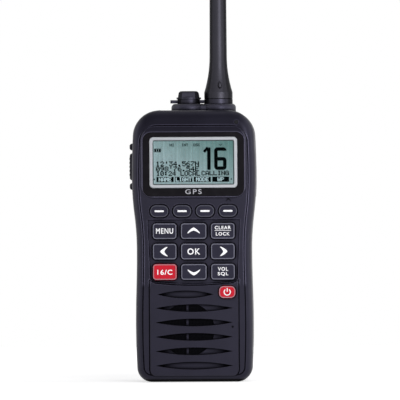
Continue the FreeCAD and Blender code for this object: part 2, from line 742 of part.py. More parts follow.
LAMP_X, LAMP_Z, LAMP_RADIUS = as_size(21.6), as_size(129.9), as_size(0.95)
MIC_X, MIC_Z = as_size(19.2), as_size(27.6)
SCREW_TIP = worked("screw_tip", PARTING - 6.0)
BOARD_POST_SIDE = worked("board_post_side", D["board_width"] / 2 - 1.4)
BOARD_POSTS = [
    (side * BOARD_POST_SIDE, level)
    for side in (-1, 1)
    for level in (D["board_bottom"] + 2.3, D["soft_row"] + 9.0)
]

# ---------------------------------------------------------------- display


def make_display():
    """The display: black panel, silver frame, lens, cell and backlight."""
    middle = D["bezel_middle"]
    half = D["window_width"] / 2 - D["slack"]
    low, high = D["window_bottom"] + D["slack"], D["window_top"] - D["slack"]
    corner = D["window_corner"] - D["slack"]
    opening = middle_box(
        0, middle, D["bezel_width"] + 2 * D["slack"], D["bezel_height"] + 2 * D["slack"], 2.0
    )
    panel = Piece("display_panel")
    panel_face = WINDOW_FLOOR - D["window_thick"]
    panel.pad("XZ", WINDOW_FLOOR, panel_face, box_path(-half, low, half, high, corner), opening)

    band = D["bezel_band"]
    view_width, view_height = D["bezel_width"] - 2 * band, D["bezel_height"] - 2 * band
    frame = Piece("display_bezel")
    outer = middle_box(0, middle, D["bezel_width"], D["bezel_height"], as_size(1.9))
    frame.pad(
        "XZ", WINDOW_FLOOR, BEZEL_FACE, outer, middle_box(0, middle, view_width, view_height, 0.8)
    )
    frame.chamfer(0.3, lies_at("Y", BEZEL_FACE))

    glass_width, glass_height = view_width - 2 * D["slack"], view_height - 2 * D["slack"]
    lens_back = WINDOW_FLOOR + 0.3
    lens = Piece("display_lens")
    lens_shape = middle_box(0, middle, glass_width, glass_height, 0.7)
    lens.pad("XZ", lens_back, lens_back - D["lens_thick"], lens_shape)

    cell_back = lens_back + D["lcd_thick"]
    cell = Piece("lcd_cell")
    cell.pad("XZ", lens_back, cell_back, middle_box(0, middle, glass_width, glass_height))

    light = Piece("backlight")
    tray = middle_box(0, middle, D["bezel_width"], D["bezel_height"] - 1.0, 1.0)
    light.pad("XZ", cell_back, BOARD_FRONT, tray)


# ---------------------------------------------------------------- keys and boards


def make_front_keys():
    """Fourteen keycaps, each with a flange behind the case and a stem over its contact pad."""
    for name, x, z, width, height, corner in KEYS:
        key = Piece(name)
        key.pad("XZ", INNER_FRONT, KEY_FACE, middle_box(x, z, width, height, corner))
        key.fillet(0.3, lies_at("Y", KEY_FACE))
        grow = 2 * (D["key_gap"] + D["key_flange"])
        flange_back = INNER_FRONT + D["key_flange_thick"]
        flange = middle_box(x, z, width + grow, height + grow, corner)
        key.pad("XZ", INNER_FRONT, flange_back, flange)
        key.pad("XZ", flange_back, STEM_END, disc(x, z, 1.5))


def make_mat():
    """The rubber mat on the main board, with a contact pad under every front key."""
    mat = Piece("keypad_mat")
    half = BOARD_POST_SIDE - 1.4 - 0.3
    low = D["board_bottom"] + 0.3
    high = D["soft_row"] + D["soft_key_height"] / 2 + 2.4
    mat.pad("XZ", BOARD_FRONT, MAT_FRONT, box_path(-half, low, half, high, as_size(1.0)))
    mat.pad("XZ", MAT_FRONT, PAD_TOP, *[disc(x, z, 1.7) for _, x, z, _, _, _ in KEYS])


def make_boards():
    """Main board with its shield, and the small boards behind the side keys and under the aerial."""
    board = Piece("main_board")
    half = D["board_width"] / 2
    shape = box_path(-half, D["board_bottom"], half, D["board_top"], as_size(1.5))
    board.pad("XZ", BOARD_FRONT, BOARD_BACK, shape)

    shield = Piece("shield_can")
    can = middle_box(0, D["bezel_middle"] - 8, 40.0, 34.0, 1.0)
    shield.pad("XZ", BOARD_BACK, BOARD_BACK + 3.2, can)
    shield.chamfer(0.4, lies_at("Y", BOARD_BACK + 3.2))
    low_can = middle_box(0, D["board_bottom"] + 16, 34.0, 26.0, 1.0)
    shield.pad("XZ", BOARD_BACK, BOARD_BACK + 2.4, low_can)

    level = (D["upper_key_level"] + D["lower_key_level"]) / 2
    side = Piece("side_board")
    tall = D["upper_key_level"] - D["lower_key_level"] + 3.4
    face = SWITCH_TOP + 0.9
    back = CAVITY_BACK - D["slack"]
    board_mid, board_deep = (back - 1) / 2, back + 1
    side.pad("YZ", face, face + 1.0, middle_box(board_mid, level, board_deep, tall, 0.8))
    switches = Piece("side_switches")
    spots = [middle_box(D["side_key_back"], z, 3.6, 3.4) for _, z, _, _ in side_key_places()]
    switches.pad("YZ", face, SWITCH_TOP, *spots)

    top = Piece("top_board")
    reach = D["upper_screw_side"] - D["sleeve_radius"] - 0.6
    deck = box_path(-reach, PARTING + 1.2, reach, CAVITY_BACK - 1.5)
    top.pad("XY", TOP_BOARD - D["board_thick"], TOP_BOARD, deck)
    patch = Piece("gps_patch")
    patch_mid = -(D["jack_side"] + D["jack_radius"] + 0.7 + 5.0)
    patch_top = TOP_BOARD + 2.4
    patch.pad("XY", TOP_BOARD, patch_top, middle_box(patch_mid, D["turret_back"], 10, 10))
    patch.pad("XY", patch_top, patch_top + 0.2, middle_box(patch_mid, D["turret_back"], 7, 7))


SWITCH_TOP = worked("switch_top", SIDE_INNER + 1.8 + D["side_key_travel"] + D["press_room"])
TOP_BOARD = worked("top_board", TURRET_FOOT - 5.1)


def make_side_keys():
    """Push-to-talk and the two keys beside it, in the left wall."""
    face = -D["case_width"] / 2 - D["side_key_rise"]
    for name, z, height, corner in side_key_places():
        key = Piece(name)
        spot = middle_box(D["side_key_back"], z, D["side_key_depth"], height, corner)
        key.pad("YZ", SIDE_INNER, face, spot)
        key.fillet(1.2, lies_at("X", face))
        grow = 2 * (D["side_key_gap"] + D["side_key_flange"])
        flange = middle_box(
            D["side_key_back"], z, D["side_key_depth"] + grow, height + grow, corner
        )
        key.pad("YZ", SIDE_INNER, SIDE_INNER + 0.8, flange)
        key.pad("YZ", SIDE_INNER + 0.8, SIDE_INNER + 1.8, disc(D["side_key_back"], z, 1.2))
        if name == "talk_key":
            ridges = [
                middle_box(D["side_key_back"], z + step * 2.0, 5.6, 0.9) for step in range(-2, 3)
            ]
            key.pad("YZ", face + 0.3, face - 0.15, *ridges)


# ---------------------------------------------------------------- sound


def make_sound():
    """Loudspeaker behind its dust mesh, and the microphone."""
    x, z = -D["speaker_side"], D["speaker_level"]
    radius = D["speaker_radius"]
    mesh = Piece("speaker_mesh")
    mesh_back = INNER_FRONT + 0.3
    mesh.pad("XZ", INNER_FRONT, mesh_back, disc(x, z, radius + 0.6))

    frame = Piece("speaker_frame")
    rim_back = mesh_back + 1.0
    wall = as_size(0.6)
    neck, depth = as_size(8.2), mesh_back + 5.0
    frame.turn("Revolution", "XY", z, [
        (radius - 2.2, mesh_back, 0),
        (radius, mesh_back, 0),
        (radius, rim_back, 0),
        (radius - 1.2, rim_back, 0),
        (neck + wall, depth, 0),
        (neck - 1.0, depth, 0),
        (neck - 1.0, depth + 3.0, 0),
        (0, depth + 3.0, 0),
        (0, depth - wall, 0),
        (neck, depth - wall, 0),
        (radius - 2.2, rim_back - 0.2, 0),
    ], x)

    cone = Piece("speaker_cone")
    rim = radius - 2.3
    cone.turn("Revolution", "XY", z, [
        (rim - 1.4, mesh_back + 0.3, 0),
        (rim, mesh_back + 0.3, 0),
        (rim, mesh_back + 0.6, 0),
        (rim - 1.6, mesh_back + 0.6, 0),
        (4.0, depth - wall - 0.2, 0),
        (0, depth - wall - 0.2, 0),
        (0, depth - wall - 0.6, 0),
        (3.8, depth - wall - 0.6, 0),
    ], x)

    microphone = Piece("microphone")
    microphone.pad("XZ", INNER_FRONT, INNER_FRONT + 2.6, disc(MIC_X, MIC_Z, 2.6))


# ---------------------------------------------------------------- chassis


def make_rear_case():
    """The back shell: battery bay, shelf, side key openings and the raised rings on top."""
    case = Piece("rear_case")
    back = D["back_depth"]
    case.pad("XZ", PARTING, back, case_outline("back_outer", 0))
    case.fillet(D["back_round"], lies_at("Y", back))
    far = D["case_width"]
    case.pocket(
        "YZ", -far, far, box_path(D["bay_floor"], D["shelf"], back + 1, D["bay_top"], as_size(0.8))
    )
    case.pocket("XZ", PARTING, BAY_WALL, case_outline("back_inner", D["side_wall"]))
    half = -SIDE_INNER
    hall_low = D["bay_top"] + 2.5
    corner = D["shoulder"] - D["side_wall"] - D["cavity_ease"]
    case.pocket("XZ", BAY_WALL - 1, CAVITY_BACK, [
        (-half, hall_low, 0),
        (half, hall_low, 0),
        (half, CEILING - corner, corner),
        (half - corner, CEILING, 0),
        (corner - half, CEILING, corner),
        (-half, CEILING - corner, 0),
    ])
    for x in (D["aerial_side"], -D["jack_side"]):
        case.turn("Revolution", "XZ", D["turret_back"], [
            (0, TURRET_FOOT, 0),
            (D["turret_radius"], TURRET_FOOT, 0),
            (D["turret_radius"], D["turret_height"] - D["turret_round"], D["turret_round"]),
            (D["turret_radius"] - D["turret_round"], D["turret_height"], 0),
            (0, D["turret_height"], 0),
        ], x)
    middle, reach = D["turret_back"], D["bridge_half"]
    case.pad("YZ", -D["jack_side"], D["aerial_side"], box_path(
        middle - reach, CEILING + 0.3, middle + reach, D["turret_height"] - D["bridge_drop"],
        as_size(1.7),
    ))
    top, foot = D["turret_height"] + 1, TURRET_FOOT - 1
    aerial = disc(D["aerial_side"], D["turret_back"], D["socket_radius"] + 0.05)
    jack = disc(-D["jack_side"], D["turret_back"], D["jack_radius"] + 0.05)
    case.pocket("XY", top, foot, aerial, jack)
    lamp = disc(BEACON_X, D["turret_back"], BEACON_RADIUS + D["slack"])
    case.pocket("XY", top, CEILING - 1, lamp)

    gap = D["side_key_gap"]
    for _, z, height, corner in side_key_places():
        spot = (D["side_key_back"], z, D["side_key_depth"] + 2 * gap, height + 2 * gap)
        case.pocket("YZ", -far / 2 - 1, SIDE_INNER + 1, middle_box(*spot, corner + gap))

    channel = D["rail_width"] / 2 + 0.2
    case.pocket("XZ", D["bay_floor"], back + 1, box_path(
        -channel, D["bay_top"] - 1, channel, PACK_TOP + D["rail_rise"] + 0.3
    ))
    notch = LATCH_TOOTH / 2 + 0.4
    case.pocket("XZ", LATCH_FRONT - 0.2, back + 1, box_path(-notch, -1, notch, D["shelf"] + 1))

    window = middle_box(0, CONTACT_LEVEL, CONTACT_WIDTH + 0.2, CONTACT_HEIGHT + 0.2)
    case.pocket("XZ", BAY_WALL - 1, D["bay_floor"] + 1, window)

    upper, lower = SCREWS[:2], SCREWS[2:]
    sleeve = D["sleeve_radius"]
    case.pad("XZ", PARTING, CAVITY_BACK + 0.5, *[disc(x, z, sleeve) for x, z, _ in upper])
    case.pad("XZ", PARTING, BAY_WALL + 0.5, *[disc(x, z, sleeve) for x, z, _ in lower])
    for places, outside in ((upper, back), (lower, D["bay_floor"])):
        seat = places[0][2]
        heads = [disc(x, z, D["screw_head"] + 0.2) for x, z, _ in places]
        case.pocket("XZ", outside + 1, seat, *heads)
        shanks = [disc(x, z, D["screw_radius"] + 0.15) for x, z, _ in places]
        case.pocket("XZ", seat, PARTING - 1, *shanks)


BEACON_X, BEACON_RADIUS = as_size(-17.8), as_size(2.2)
LATCH_TOOTH = as_size(6.8)
LATCH_FRONT = worked("latch_front", PACK_BACK - 2.5)
CONTACT_LEVEL, CONTACT_WIDTH, CONTACT_HEIGHT = as_size(22.0), as_size(15.0), as_size(5.0)


def make_fasteners():
    """The four screws that hold the shells together."""
    screws = Piece("case_screws")
    shank = D["screw_radius"]
    for places in (SCREWS[:2], SCREWS[2:]):
        seat = places[0][2]
        screws.pad("XZ", SCREW_TIP, seat, *[disc(x, z, shank) for x, z, _ in places])
        heads = [disc(x, z, D["screw_head"]) for x, z, _ in places]
        screws.pad("XZ", seat, seat + 1.4, *heads)


def make_lamps():
    """The receive lamp over the display and the small beacon in the left shoulder."""
    lamp = Piece("status_lamp")
    lamp.pad("XZ", INNER_FRONT, FRONT - 0.15, disc(LAMP_X, LAMP_Z, LAMP_RADIUS))
    lamp.pad("XZ", INNER_FRONT, INNER_FRONT + 0.8, disc(LAMP_X, LAMP_Z, LAMP_RADIUS + 0.6))
    beacon = Piece("beacon_lens")
    wide, flange = BEACON_RADIUS, BEACON_RADIUS + 0.5
    top, flange_top = D["case_height"] + 0.5, CEILING - 0.8
    crown = as_size(0.7)
    dome = (wide * wide + crown * crown) / (crown * 2)
    beacon.turn("Revolution", "XZ", D["turret_back"], [
        (0, flange_top - 0.8, 0),
        (flange, flange_top - 0.8, 0),
        (flange, flange_top, 0),
        (wide, flange_top, 0),
        (wide, top - crown, dome),
        (0, top, 0),
    ], BEACON_X)


# ---------------------------------------------------------------- aerial and jack


def make_aerial():
    """The aerial: rubber sheath over a wound core, screwed on a threaded socket."""
    x, y = D["aerial_side"], D["turret_back"]
    foot = STRAP_TOP
    stud_top = foot + 4.4
    socket = Piece("aerial_socket")
    socket.pad("XY", TOP_BOARD, stud_top, disc(x, y, D["socket_radius"]))
    nut = Piece("socket_nuts")
    spots = ((x, D["socket_radius"] + 0.05), (-D["jack_side"], D["jack_radius"] + 0.05))
    for across, bore in spots:
        flats = hexagon(across, y, bore + 1.6)
        nut.pad("XY", TURRET_FOOT - 2.2, TURRET_FOOT, flats, disc(across, y, bore))

    base, rod, tip = D["aerial_base_radius"], D["aerial_rod_radius"], D["aerial_tip_radius"]
    straight = foot + D["aerial_foot"]
    flare_top = straight + D["aerial_flare"]
    step = base - rod
    bow = (D["aerial_flare"] * D["aerial_flare"] + step * step) / (step * 2)
    top = foot + D["aerial_length"]
    bore, core = D["socket_radius"] + 0.05, as_size(1.55)
    core_top = top - 6
    sheath = Piece("aerial")
    sheath.turn("Revolution", "XZ", y, [
        (bore, foot, 0),
        (base - 0.35, foot, 0),
        (base, foot + 0.35, 0),
        (base, straight, -bow),
        (rod, flare_top, 0),
        (tip, top - tip, tip),
        (0, top, 0),
        (0, core_top, 0),
        (core, core_top, 0),
        (core, stud_top + 0.3, 0),
        (bore, stud_top + 0.3, 0),
    ], x)
    inner = Piece("aerial_core")
    inner.pad("XY", stud_top + 0.2, core_top - 0.2, disc(x, y, core - 0.05))


def hexagon(x, y, reach):
    """A nut's outline: six flats, each this far from the middle."""
    corner = reach * (2 / math.sqrt(3))
    half = corner / 2
    return [
        (x + corner, y, 0),
        (x + half, y + reach, 0),
        (x - half, y + reach, 0),
        (x - corner, y, 0),
        (x - half, y - reach, 0),
        (x + half, y - reach, 0),
    ]


def make_jack():
    """The accessory jack, its screw cap, and the rubber strap that keeps the cap."""
    x, y = -D["jack_side"], D["turret_back"]
    top = D["turret_height"]
    jack = Piece("jack_socket")
    jack.pad("XY", TOP_BOARD, top - 0.05, disc(x, y, D["jack_radius"]))
    jack.pocket("XY", top, top - 7.5, disc(x, y, D["jack_bore"]))

    cap = Piece("jack_cap")
    half, cut = D["cap_width"] / 2, as_size(2.1)
    grip = [
        (x - half + cut, y - half, 0),
        (x + half - cut, y - half, 0),
        (x + half, y - half + cut, 0),
        (x + half, y + half - cut, 0),
        (x + half - cut, y + half, 0),
        (x - half + cut, y + half, 0),
        (x - half, y + half - cut, 0),
        (x - half, y - half + cut, 0),
    ]
    grip_foot = STRAP_TOP + 0.1
    head = cap.pad("XY", grip_foot, grip_foot + D["cap_rise"], grip)
    head.TaperAngle = -D["cap_draft"].value
    head.setExpression("TaperAngle", (-D["cap_draft"]).text)
    cap.fillet(D["cap_round"], lies_at("Z", grip_foot + D["cap_rise"]))
    cap.pad("XY", grip_foot, grip_foot + D["cap_skirt_rise"], disc(x, y, D["cap_skirt"]))
    cap.pad("XY", grip_foot, top, disc(x, y, D["neck_radius"]))
    cap.pad("XY", top, top - D["plug_length"], disc(x, y, D["jack_bore"] - 0.1))

    loop = Piece("strap_loop")
    ring_foot = top + 0.1
    bore = D["neck_radius"] + 0.2
    tab_half, tab_foot = D["strap_width"] / 2, ring_foot + 0.2
    tab_end = x - D["loop_radius"] - D["tab_length"]
    loop.pad("XY", ring_foot, STRAP_TOP, disc(x, y, D["loop_radius"]), disc(x, y, bore))
    loop.pad("XY", tab_foot, tab_foot + D["tab_thick"], box_path(
        tab_end, y - tab_half, x - (D["loop_radius"] + bore) / 2, y + tab_half, as_size(0.8)
    ))

    strap = Piece("retaining_strap")
    around = D["aerial_side"]
    reach = D["loop_radius"] + 0.2
    half = D["strap_width"] / 2
    strap.pad("XY", top, STRAP_TOP, disc(around, y, D["aerial_base_radius"] + 0.05))
    strap.pad("XY", top + 0.3, top + 0.3 + D["tab_thick"], box_path(
        x + root(reach * reach - half * half), y - half, around - bore, y + half
    ))
    strap.pocket("XY", top - 1, STRAP_TOP + 1, disc(around, y, D["socket_radius"] + 0.1))
    strap.pocket("XY", top - 1, STRAP_TOP + 1, disc(x, y, reach))


# ---------------------------------------------------------------- battery pack


def make_battery():
    """The battery pack: case, lid, cells, terminals and the contacts they meet."""
    case = Piece("battery_case")
    case.pad("XZ", PACK_FRONT, PACK_BACK, case_outline("pack", D["pack_gap"]))
    far = D["case_width"]
    front, back = PACK_FRONT - 1, PACK_BACK + 1
    case.pocket("YZ", -far, far, box_path(front, PACK_TOP, back, D["case_height"] + 1))
    case.pocket("YZ", -far, far, box_path(front, -1, back, PACK_BOTTOM))
    case.fillet(D["pack_round"], lies_at("Y", PACK_BACK))
    half = D["cell_width"] + 1.2
    low = PACK_BOTTOM + 9.2
    high = low + D["cell_length"] + 0.8
    hollow = box_path(-half, low, half, high, as_size(1.2))
    case.pocket("XZ", PACK_FRONT, PACK_FRONT + D["lid_thick"] + D["cell_thick"] + 0.4, hollow)
    lid_shape = box_path(-half - 1.2, low - 1.2, half + 1.2, high + 1.2, as_size(2.0))
    case.pocket("XZ", PACK_FRONT, PACK_FRONT + D["lid_thick"], lid_shape)
    rail = D["rail_width"] / 2
    rail_shape = box_path(-rail, PACK_TOP - 0.5, rail, PACK_TOP + D["rail_rise"])
    case.pad("XZ", PACK_FRONT + 2, D["back_depth"] - 0.4, rail_shape)

    # The latch's channel: a wide part that keeps its flange and a narrow part for its button.
    wide, narrow = D["latch_width"] / 2 + 0.2, D["latch_width"] / 2 - 1.2
    flange_back = LATCH_FRONT + 1.2
    channel_top = LATCH_LOW + LATCH_HEIGHT + D["latch_travel"] + 0.3
    channel = box_path(-wide, PACK_BOTTOM - 1, wide, channel_top)
    case.pocket("XZ", LATCH_FRONT - 0.1, flange_back + 0.1, channel)
    case.pocket("XZ", flange_back - 1, back, box_path(-narrow, LATCH_LOW - 0.4, narrow, channel_top))
    holes = [disc(x, z, 1.25) for x, z in CLIP_SCREWS]
    case.pocket("XZ", PACK_BACK, PACK_BACK - 3.2, *holes)

    lid = Piece("battery_lid")
    s = D["slack"]
    lid.pad("XZ", PACK_FRONT, PACK_FRONT + D["lid_thick"] - 0.05, box_path(
        -half - 1.2 + s, low - 1.2 + s, half + 1.2 - s, high + 1.2 - s, as_size(1.9)
    ))
    pockets = [middle_box(x, CONTACT_LEVEL, 2.6, 4.0) for x in TERMINALS]
    lid.pocket("XZ", PACK_FRONT, PACK_FRONT + 0.4, *pockets)

    terminals = Piece("battery_terminals")
    pads = [middle_box(x, CONTACT_LEVEL, 2.4, 3.8) for x in TERMINALS]
    terminals.pad("XZ", PACK_FRONT + 0.05, PACK_FRONT + 0.4, *pads)

    cells = Piece("battery_cells")
    front = PACK_FRONT + D["lid_thick"] + 0.1
    cell_low = low + 0.4
    boxes = [
        box_path(left, cell_low, left + D["cell_width"], cell_low + D["cell_length"], as_size(1.5))
        for left in (-D["cell_width"] - 0.4, as_size(0.4))
    ]
    cells.pad("XZ", front, front + D["cell_thick"], *boxes)
    cells.fillet(1.0, lies_at("Y", front + D["cell_thick"]))

    contacts = Piece("radio_contacts")
    block = middle_box(0, CONTACT_LEVEL, CONTACT_WIDTH, CONTACT_HEIGHT)
    contacts.pad("XZ", BAY_WALL - 1.5, D["bay_floor"] - 0.1, block)
    pins = [disc(x, CONTACT_LEVEL, 0.8) for x in TERMINALS]
    contacts.pad("XZ", D["bay_floor"] - 0.1, PACK_FRONT, *pins)


LATCH_LOW, LATCH_HEIGHT = worked("latch_low", PACK_BOTTOM + 3.4), as_size(7.6)
TERMINALS = [as_size(x) for x in (-4.8, 0.0, 4.8)]
CLIP_SCREWS = [(as_size(side * 6.2), D["clip_pin_level"] - 9.6) for side in (-1, 1)]


def make_latch():
    """The sliding latch in the foot of the pack, with its tooth in the shelf's notch."""
    latch = Piece("battery_latch")
    flange_back = LATCH_FRONT + 1.1
    high = LATCH_LOW + LATCH_HEIGHT
    wide, narrow = D["latch_width"] / 2, D["latch_width"] / 2 - 1.4
    face = PACK_BACK - 0.2
    latch.pad("XZ", LATCH_FRONT, flange_back, box_path(-wide, LATCH_LOW - 0.2, wide, high))
    latch.pad("XZ", flange_back, face, box_path(-narrow, LATCH_LOW, narrow, high, as_size(0.8)))
    tooth = LATCH_TOOTH / 2
    low = PACK_BOTTOM - D["latch_travel"] + 0.2
    latch.pad("XZ", LATCH_FRONT, flange_back, box_path(-tooth, low, tooth, LATCH_LOW))
    ridges = [
        middle_box(0, LATCH_LOW + 1.6 + 1.5 * step, 2 * narrow - 1.6, 0.8) for step in range(4)
    ]
    latch.pad("XZ", face, face + 0.6, *ridges)

    spring = Piece("latch_spring")
    high_end = high + D["latch_travel"] + 0.2
    mid = (high + high_end) / 2
    y_mid = LATCH_FRONT + 0.55
    spring.pad("XZ", y_mid - 0.4, y_mid + 0.4, zigzag(high + 0.05, high_end - 0.05, mid))


def zigzag(low, high, mid):
    """A flat bow spring: two ends up against the channel and a middle down on the latch."""
    wide, thick = as_size(5.0), as_size(0.45)
    return [
        (-wide, high - thick, 0),
        (-1.2, low, 0),
        (1.2, low, 0),
        (wide, high - thick, 0),
        (wide, high, 0),
        (1.0, low + thick, 0),
        (-1.0, low + thick, 0),
        (-wide, high, 0),
    ]


def make_clip():
    """The belt clip on the pack: bracket with two ears, pin, spring and sprung tongue."""
    y, z = CLIP_PIN_BACK, D["clip_pin_level"]
    plate_back = PACK_BACK + D["plate_thick"]
    outer = D["clip_width"] / 2 + 0.3 + D["ear_thick"]
    inner = outer - D["ear_thick"]
    bracket = Piece("clip_bracket")
    bracket.pad("XZ", PACK_BACK, plate_back, box_path(-outer, z - 14, outer, z + 7, as_size(2.0)))
    bracket.chamfer(0.5, lies_at("Y", plate_back))
    ear = [
        (plate_back - 0.8, z - 3.2, 0),
        (y, z - 3.2, 3.2),
        (y + 3.2, z, 3.2),
        (y, z + 3.2, 0),
        (plate_back - 0.8, z + 3.2, 0),
    ]
    hole = disc(y, z, D["clip_pin_radius"] + 0.03)
    bracket.pad("YZ", inner, outer, ear, hole)
    bracket.pad("YZ", -outer, -inner, ear, hole)
    holes = [disc(x, level, 1.3) for x, level in CLIP_SCREWS]
    bracket.pocket("XZ", PACK_BACK, plate_back + 1, *holes)

    screws = Piece("clip_screws")
    screws.pad("XZ", PACK_BACK - 3.0, plate_back, *[disc(x, level, 1.2) for x, level in CLIP_SCREWS])
    screws.pad("XZ", plate_back, plate_back + 1.1, *[disc(x, level, 2.1) for x, level in CLIP_SCREWS])

    pin = Piece("clip_pin")
    pin.pad("YZ", -outer - 0.4, outer + 0.4, disc(y, z, D["clip_pin_radius"]))

    inside = y - 0.4
    thick = D["clip_thick"]
    tip = D["clip_tip_level"]
    rest = PACK_BACK + 0.4
    top = z + D["clip_thumb"]
    clip = Piece("belt_clip")
    half = D["clip_width"] / 2
    profile = [
        (inside - 0.9, top, 0),
        (inside, z + 5, 0),
        (inside, tip + 17, 0),
        (rest, tip + 6.8, 0),
        (rest + 1.5, tip, 0),
        (rest + 1.5 + thick, tip + 0.4, 0),
        (rest + thick, tip + 6.8, 0),
        (inside + thick, tip + 18, 0),
        (inside + thick, z + 5, 0),
        (inside - 0.9 + thick, top, 0),
    ]
    clip.pad("YZ", -half, half, profile)
    clip.fillet(5.0, lambda e: e.BoundBox.XLength > half.value and 12 < e.BoundBox.ZMin - tip.value < 19)
    clip.fillet(2.4, lambda e: e.BoundBox.XLength > half.value and 5 < e.BoundBox.ZMin - tip.value < 8)
    clip.pad("YZ", -half, half, disc(y, z, 2.7))
    window = as_size(4.2)
    clip.pocket("XZ", y - 4, y + 4, box_path(-window, z - 3.4, window, z + 3.4, as_size(0.6)))
    clip.pocket("YZ", -half - 1, half + 1, disc(y, z, D["clip_pin_radius"] + 0.06))
    clip.fillet(4.0, lambda e: e.BoundBox.XLength < 0.01 and e.BoundBox.ZMax < tip.value + 0.6)

    spring = Piece("clip_spring")
    coil, wire = as_size(3.6), as_size(0.9)
    bore, ridge = D["clip_pin_radius"] + 0.15, D["clip_pin_radius"] + 0.65
    turns = [(coil - wire * step, ridge, wire / 2 + 0.02) for step in range(8)]
    wound = [(-coil, bore, 0), (coil, bore, 0), *turns, (-coil, ridge, 0)]
    spring.turn("Revolution", "XZ", y, wound, 0, z, "H_Axis")
    for x, back, low, high in ((-3.15, y - 2.2, z - 9, z), (3.15, y - 1.5, z + 1.2, z + 9)):
        spring.pad("XY", low, high, disc(x, back, 0.42))


# ---------------------------------------------------------------- build


def check(pieces):
    """Stops the build if a feature failed or a sub-part isn't a sound solid."""
    for thing in DOC.Objects:
        if any(word in thing.State for word in ("Invalid", "Error")):
            raise RuntimeError(f"{thing.Name} failed: {thing.State}")
    for piece in pieces:
        shape = piece.body.Shape
        if shape.isNull() or not shape.isValid() or not shape.Solids:
            raise RuntimeError(f"{piece.name} is not a sound solid")


def main():
    make_front_case()
    make_rear_case()
    make_display()
    make_front_keys()
    make_mat()
    make_boards()
    make_side_keys()
    make_sound()
    make_fasteners()
    make_lamps()
    make_aerial()
    make_jack()
    make_battery()
    make_latch()
    make_clip()
    DOC.recompute()
    check(Piece.made)
    os.makedirs("parts", exist_ok=True)
    for piece in Piece.made:
        piece.body.Shape.exportStep(f"parts/{piece.name}.step")


main()
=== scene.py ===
"""Dresses the handheld marine radio for display: finishes, printed legends, display and strap."""

from __future__ import annotations

import logging
import math
from contextlib import contextmanager
from dataclasses import dataclass, field
from enum import Enum
from typing import Callable, Iterator, Sequence

import bmesh
import bpy
from mathutils import Matrix, Vector

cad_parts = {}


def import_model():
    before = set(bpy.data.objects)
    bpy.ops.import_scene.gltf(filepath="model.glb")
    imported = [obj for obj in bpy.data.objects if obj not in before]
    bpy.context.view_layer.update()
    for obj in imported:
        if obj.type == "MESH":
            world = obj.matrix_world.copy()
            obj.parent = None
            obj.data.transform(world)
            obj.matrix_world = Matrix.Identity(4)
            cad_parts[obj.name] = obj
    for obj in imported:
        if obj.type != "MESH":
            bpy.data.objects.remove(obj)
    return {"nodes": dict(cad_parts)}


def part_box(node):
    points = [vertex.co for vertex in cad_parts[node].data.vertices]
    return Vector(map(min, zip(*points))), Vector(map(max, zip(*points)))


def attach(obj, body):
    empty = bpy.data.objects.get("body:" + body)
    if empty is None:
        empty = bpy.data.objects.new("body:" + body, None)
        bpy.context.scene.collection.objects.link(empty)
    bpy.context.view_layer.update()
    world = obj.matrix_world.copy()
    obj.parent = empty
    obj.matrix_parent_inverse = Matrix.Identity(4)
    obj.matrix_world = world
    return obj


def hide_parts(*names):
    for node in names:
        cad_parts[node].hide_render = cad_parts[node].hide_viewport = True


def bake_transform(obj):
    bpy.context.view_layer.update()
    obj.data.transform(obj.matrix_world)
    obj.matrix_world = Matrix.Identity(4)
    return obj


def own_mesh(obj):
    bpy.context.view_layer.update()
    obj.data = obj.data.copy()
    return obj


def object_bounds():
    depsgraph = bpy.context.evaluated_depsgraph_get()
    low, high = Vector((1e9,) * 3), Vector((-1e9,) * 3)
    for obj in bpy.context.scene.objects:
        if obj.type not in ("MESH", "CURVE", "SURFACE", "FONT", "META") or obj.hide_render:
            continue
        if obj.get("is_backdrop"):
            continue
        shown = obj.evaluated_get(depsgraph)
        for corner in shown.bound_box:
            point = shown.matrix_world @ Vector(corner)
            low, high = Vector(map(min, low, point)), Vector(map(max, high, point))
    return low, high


log = logging.getLogger("marine_radio")

Piece = bpy.types.Object
Block = bpy.types.Material | bpy.types.World
Node = bpy.types.Node
Socket = bpy.types.NodeSocket
Pair = tuple[float, float]
Triple = tuple[float, float, float]
Four = tuple[float, float, float, float]
Colour = Triple
Test = Callable[[Vector], bool]

MM = 0.001
SMOOTH_BELOW = math.radians(35)
FORWARD = Matrix.Rotation(math.radians(90), 4, "X")

# Where a finish changes along the radio's axes, in metres.
GRILLE_TOP: Pair = (0.0475, 0.0495)
FRONT_EDGE: Pair = (-0.0145, -0.0125)
RINGS: Pair = (0.1362, 0.1372)
SIDES: Four = (-0.028, -0.024, 0.0225, 0.0265)
FOREHEAD: Four = (0.1195, 0.1285, 0.1336, 0.139)

# How open a surface is, from 0 to 1: free of shade, deep in a crevice, and where shade ends
# below and above the top of the grille.
OPEN: Pair = (0.88, 0.98)
DEEP = 0.5
SHADE_ENDS: Pair = (0.97, 0.88)
# What is left of a colour deep in a crevice, where the painted shade is darkest.
CREVICE_SHADE = 0.03
# How far an edge bends, as a cosine, from where its painted highlight begins to where it is
# brightest.
EDGE_HIGHLIGHT_BEND: Pair = (0.985, 0.9)
# How far a surface turns away, from 0 to 1, while its gloss fades.
TURNING: Pair = (0.04, 0.3)
# The share of an arrow's weight that is lost at its tips, and how late it is lost.
TIP_LOSS = 0.62
TIP_POWER = 1.7
# How far the power sign's ring is open to each side of its top, in degrees.
SIGN_OPEN = 38.0


# ------------------------------------------------------------------ finishes


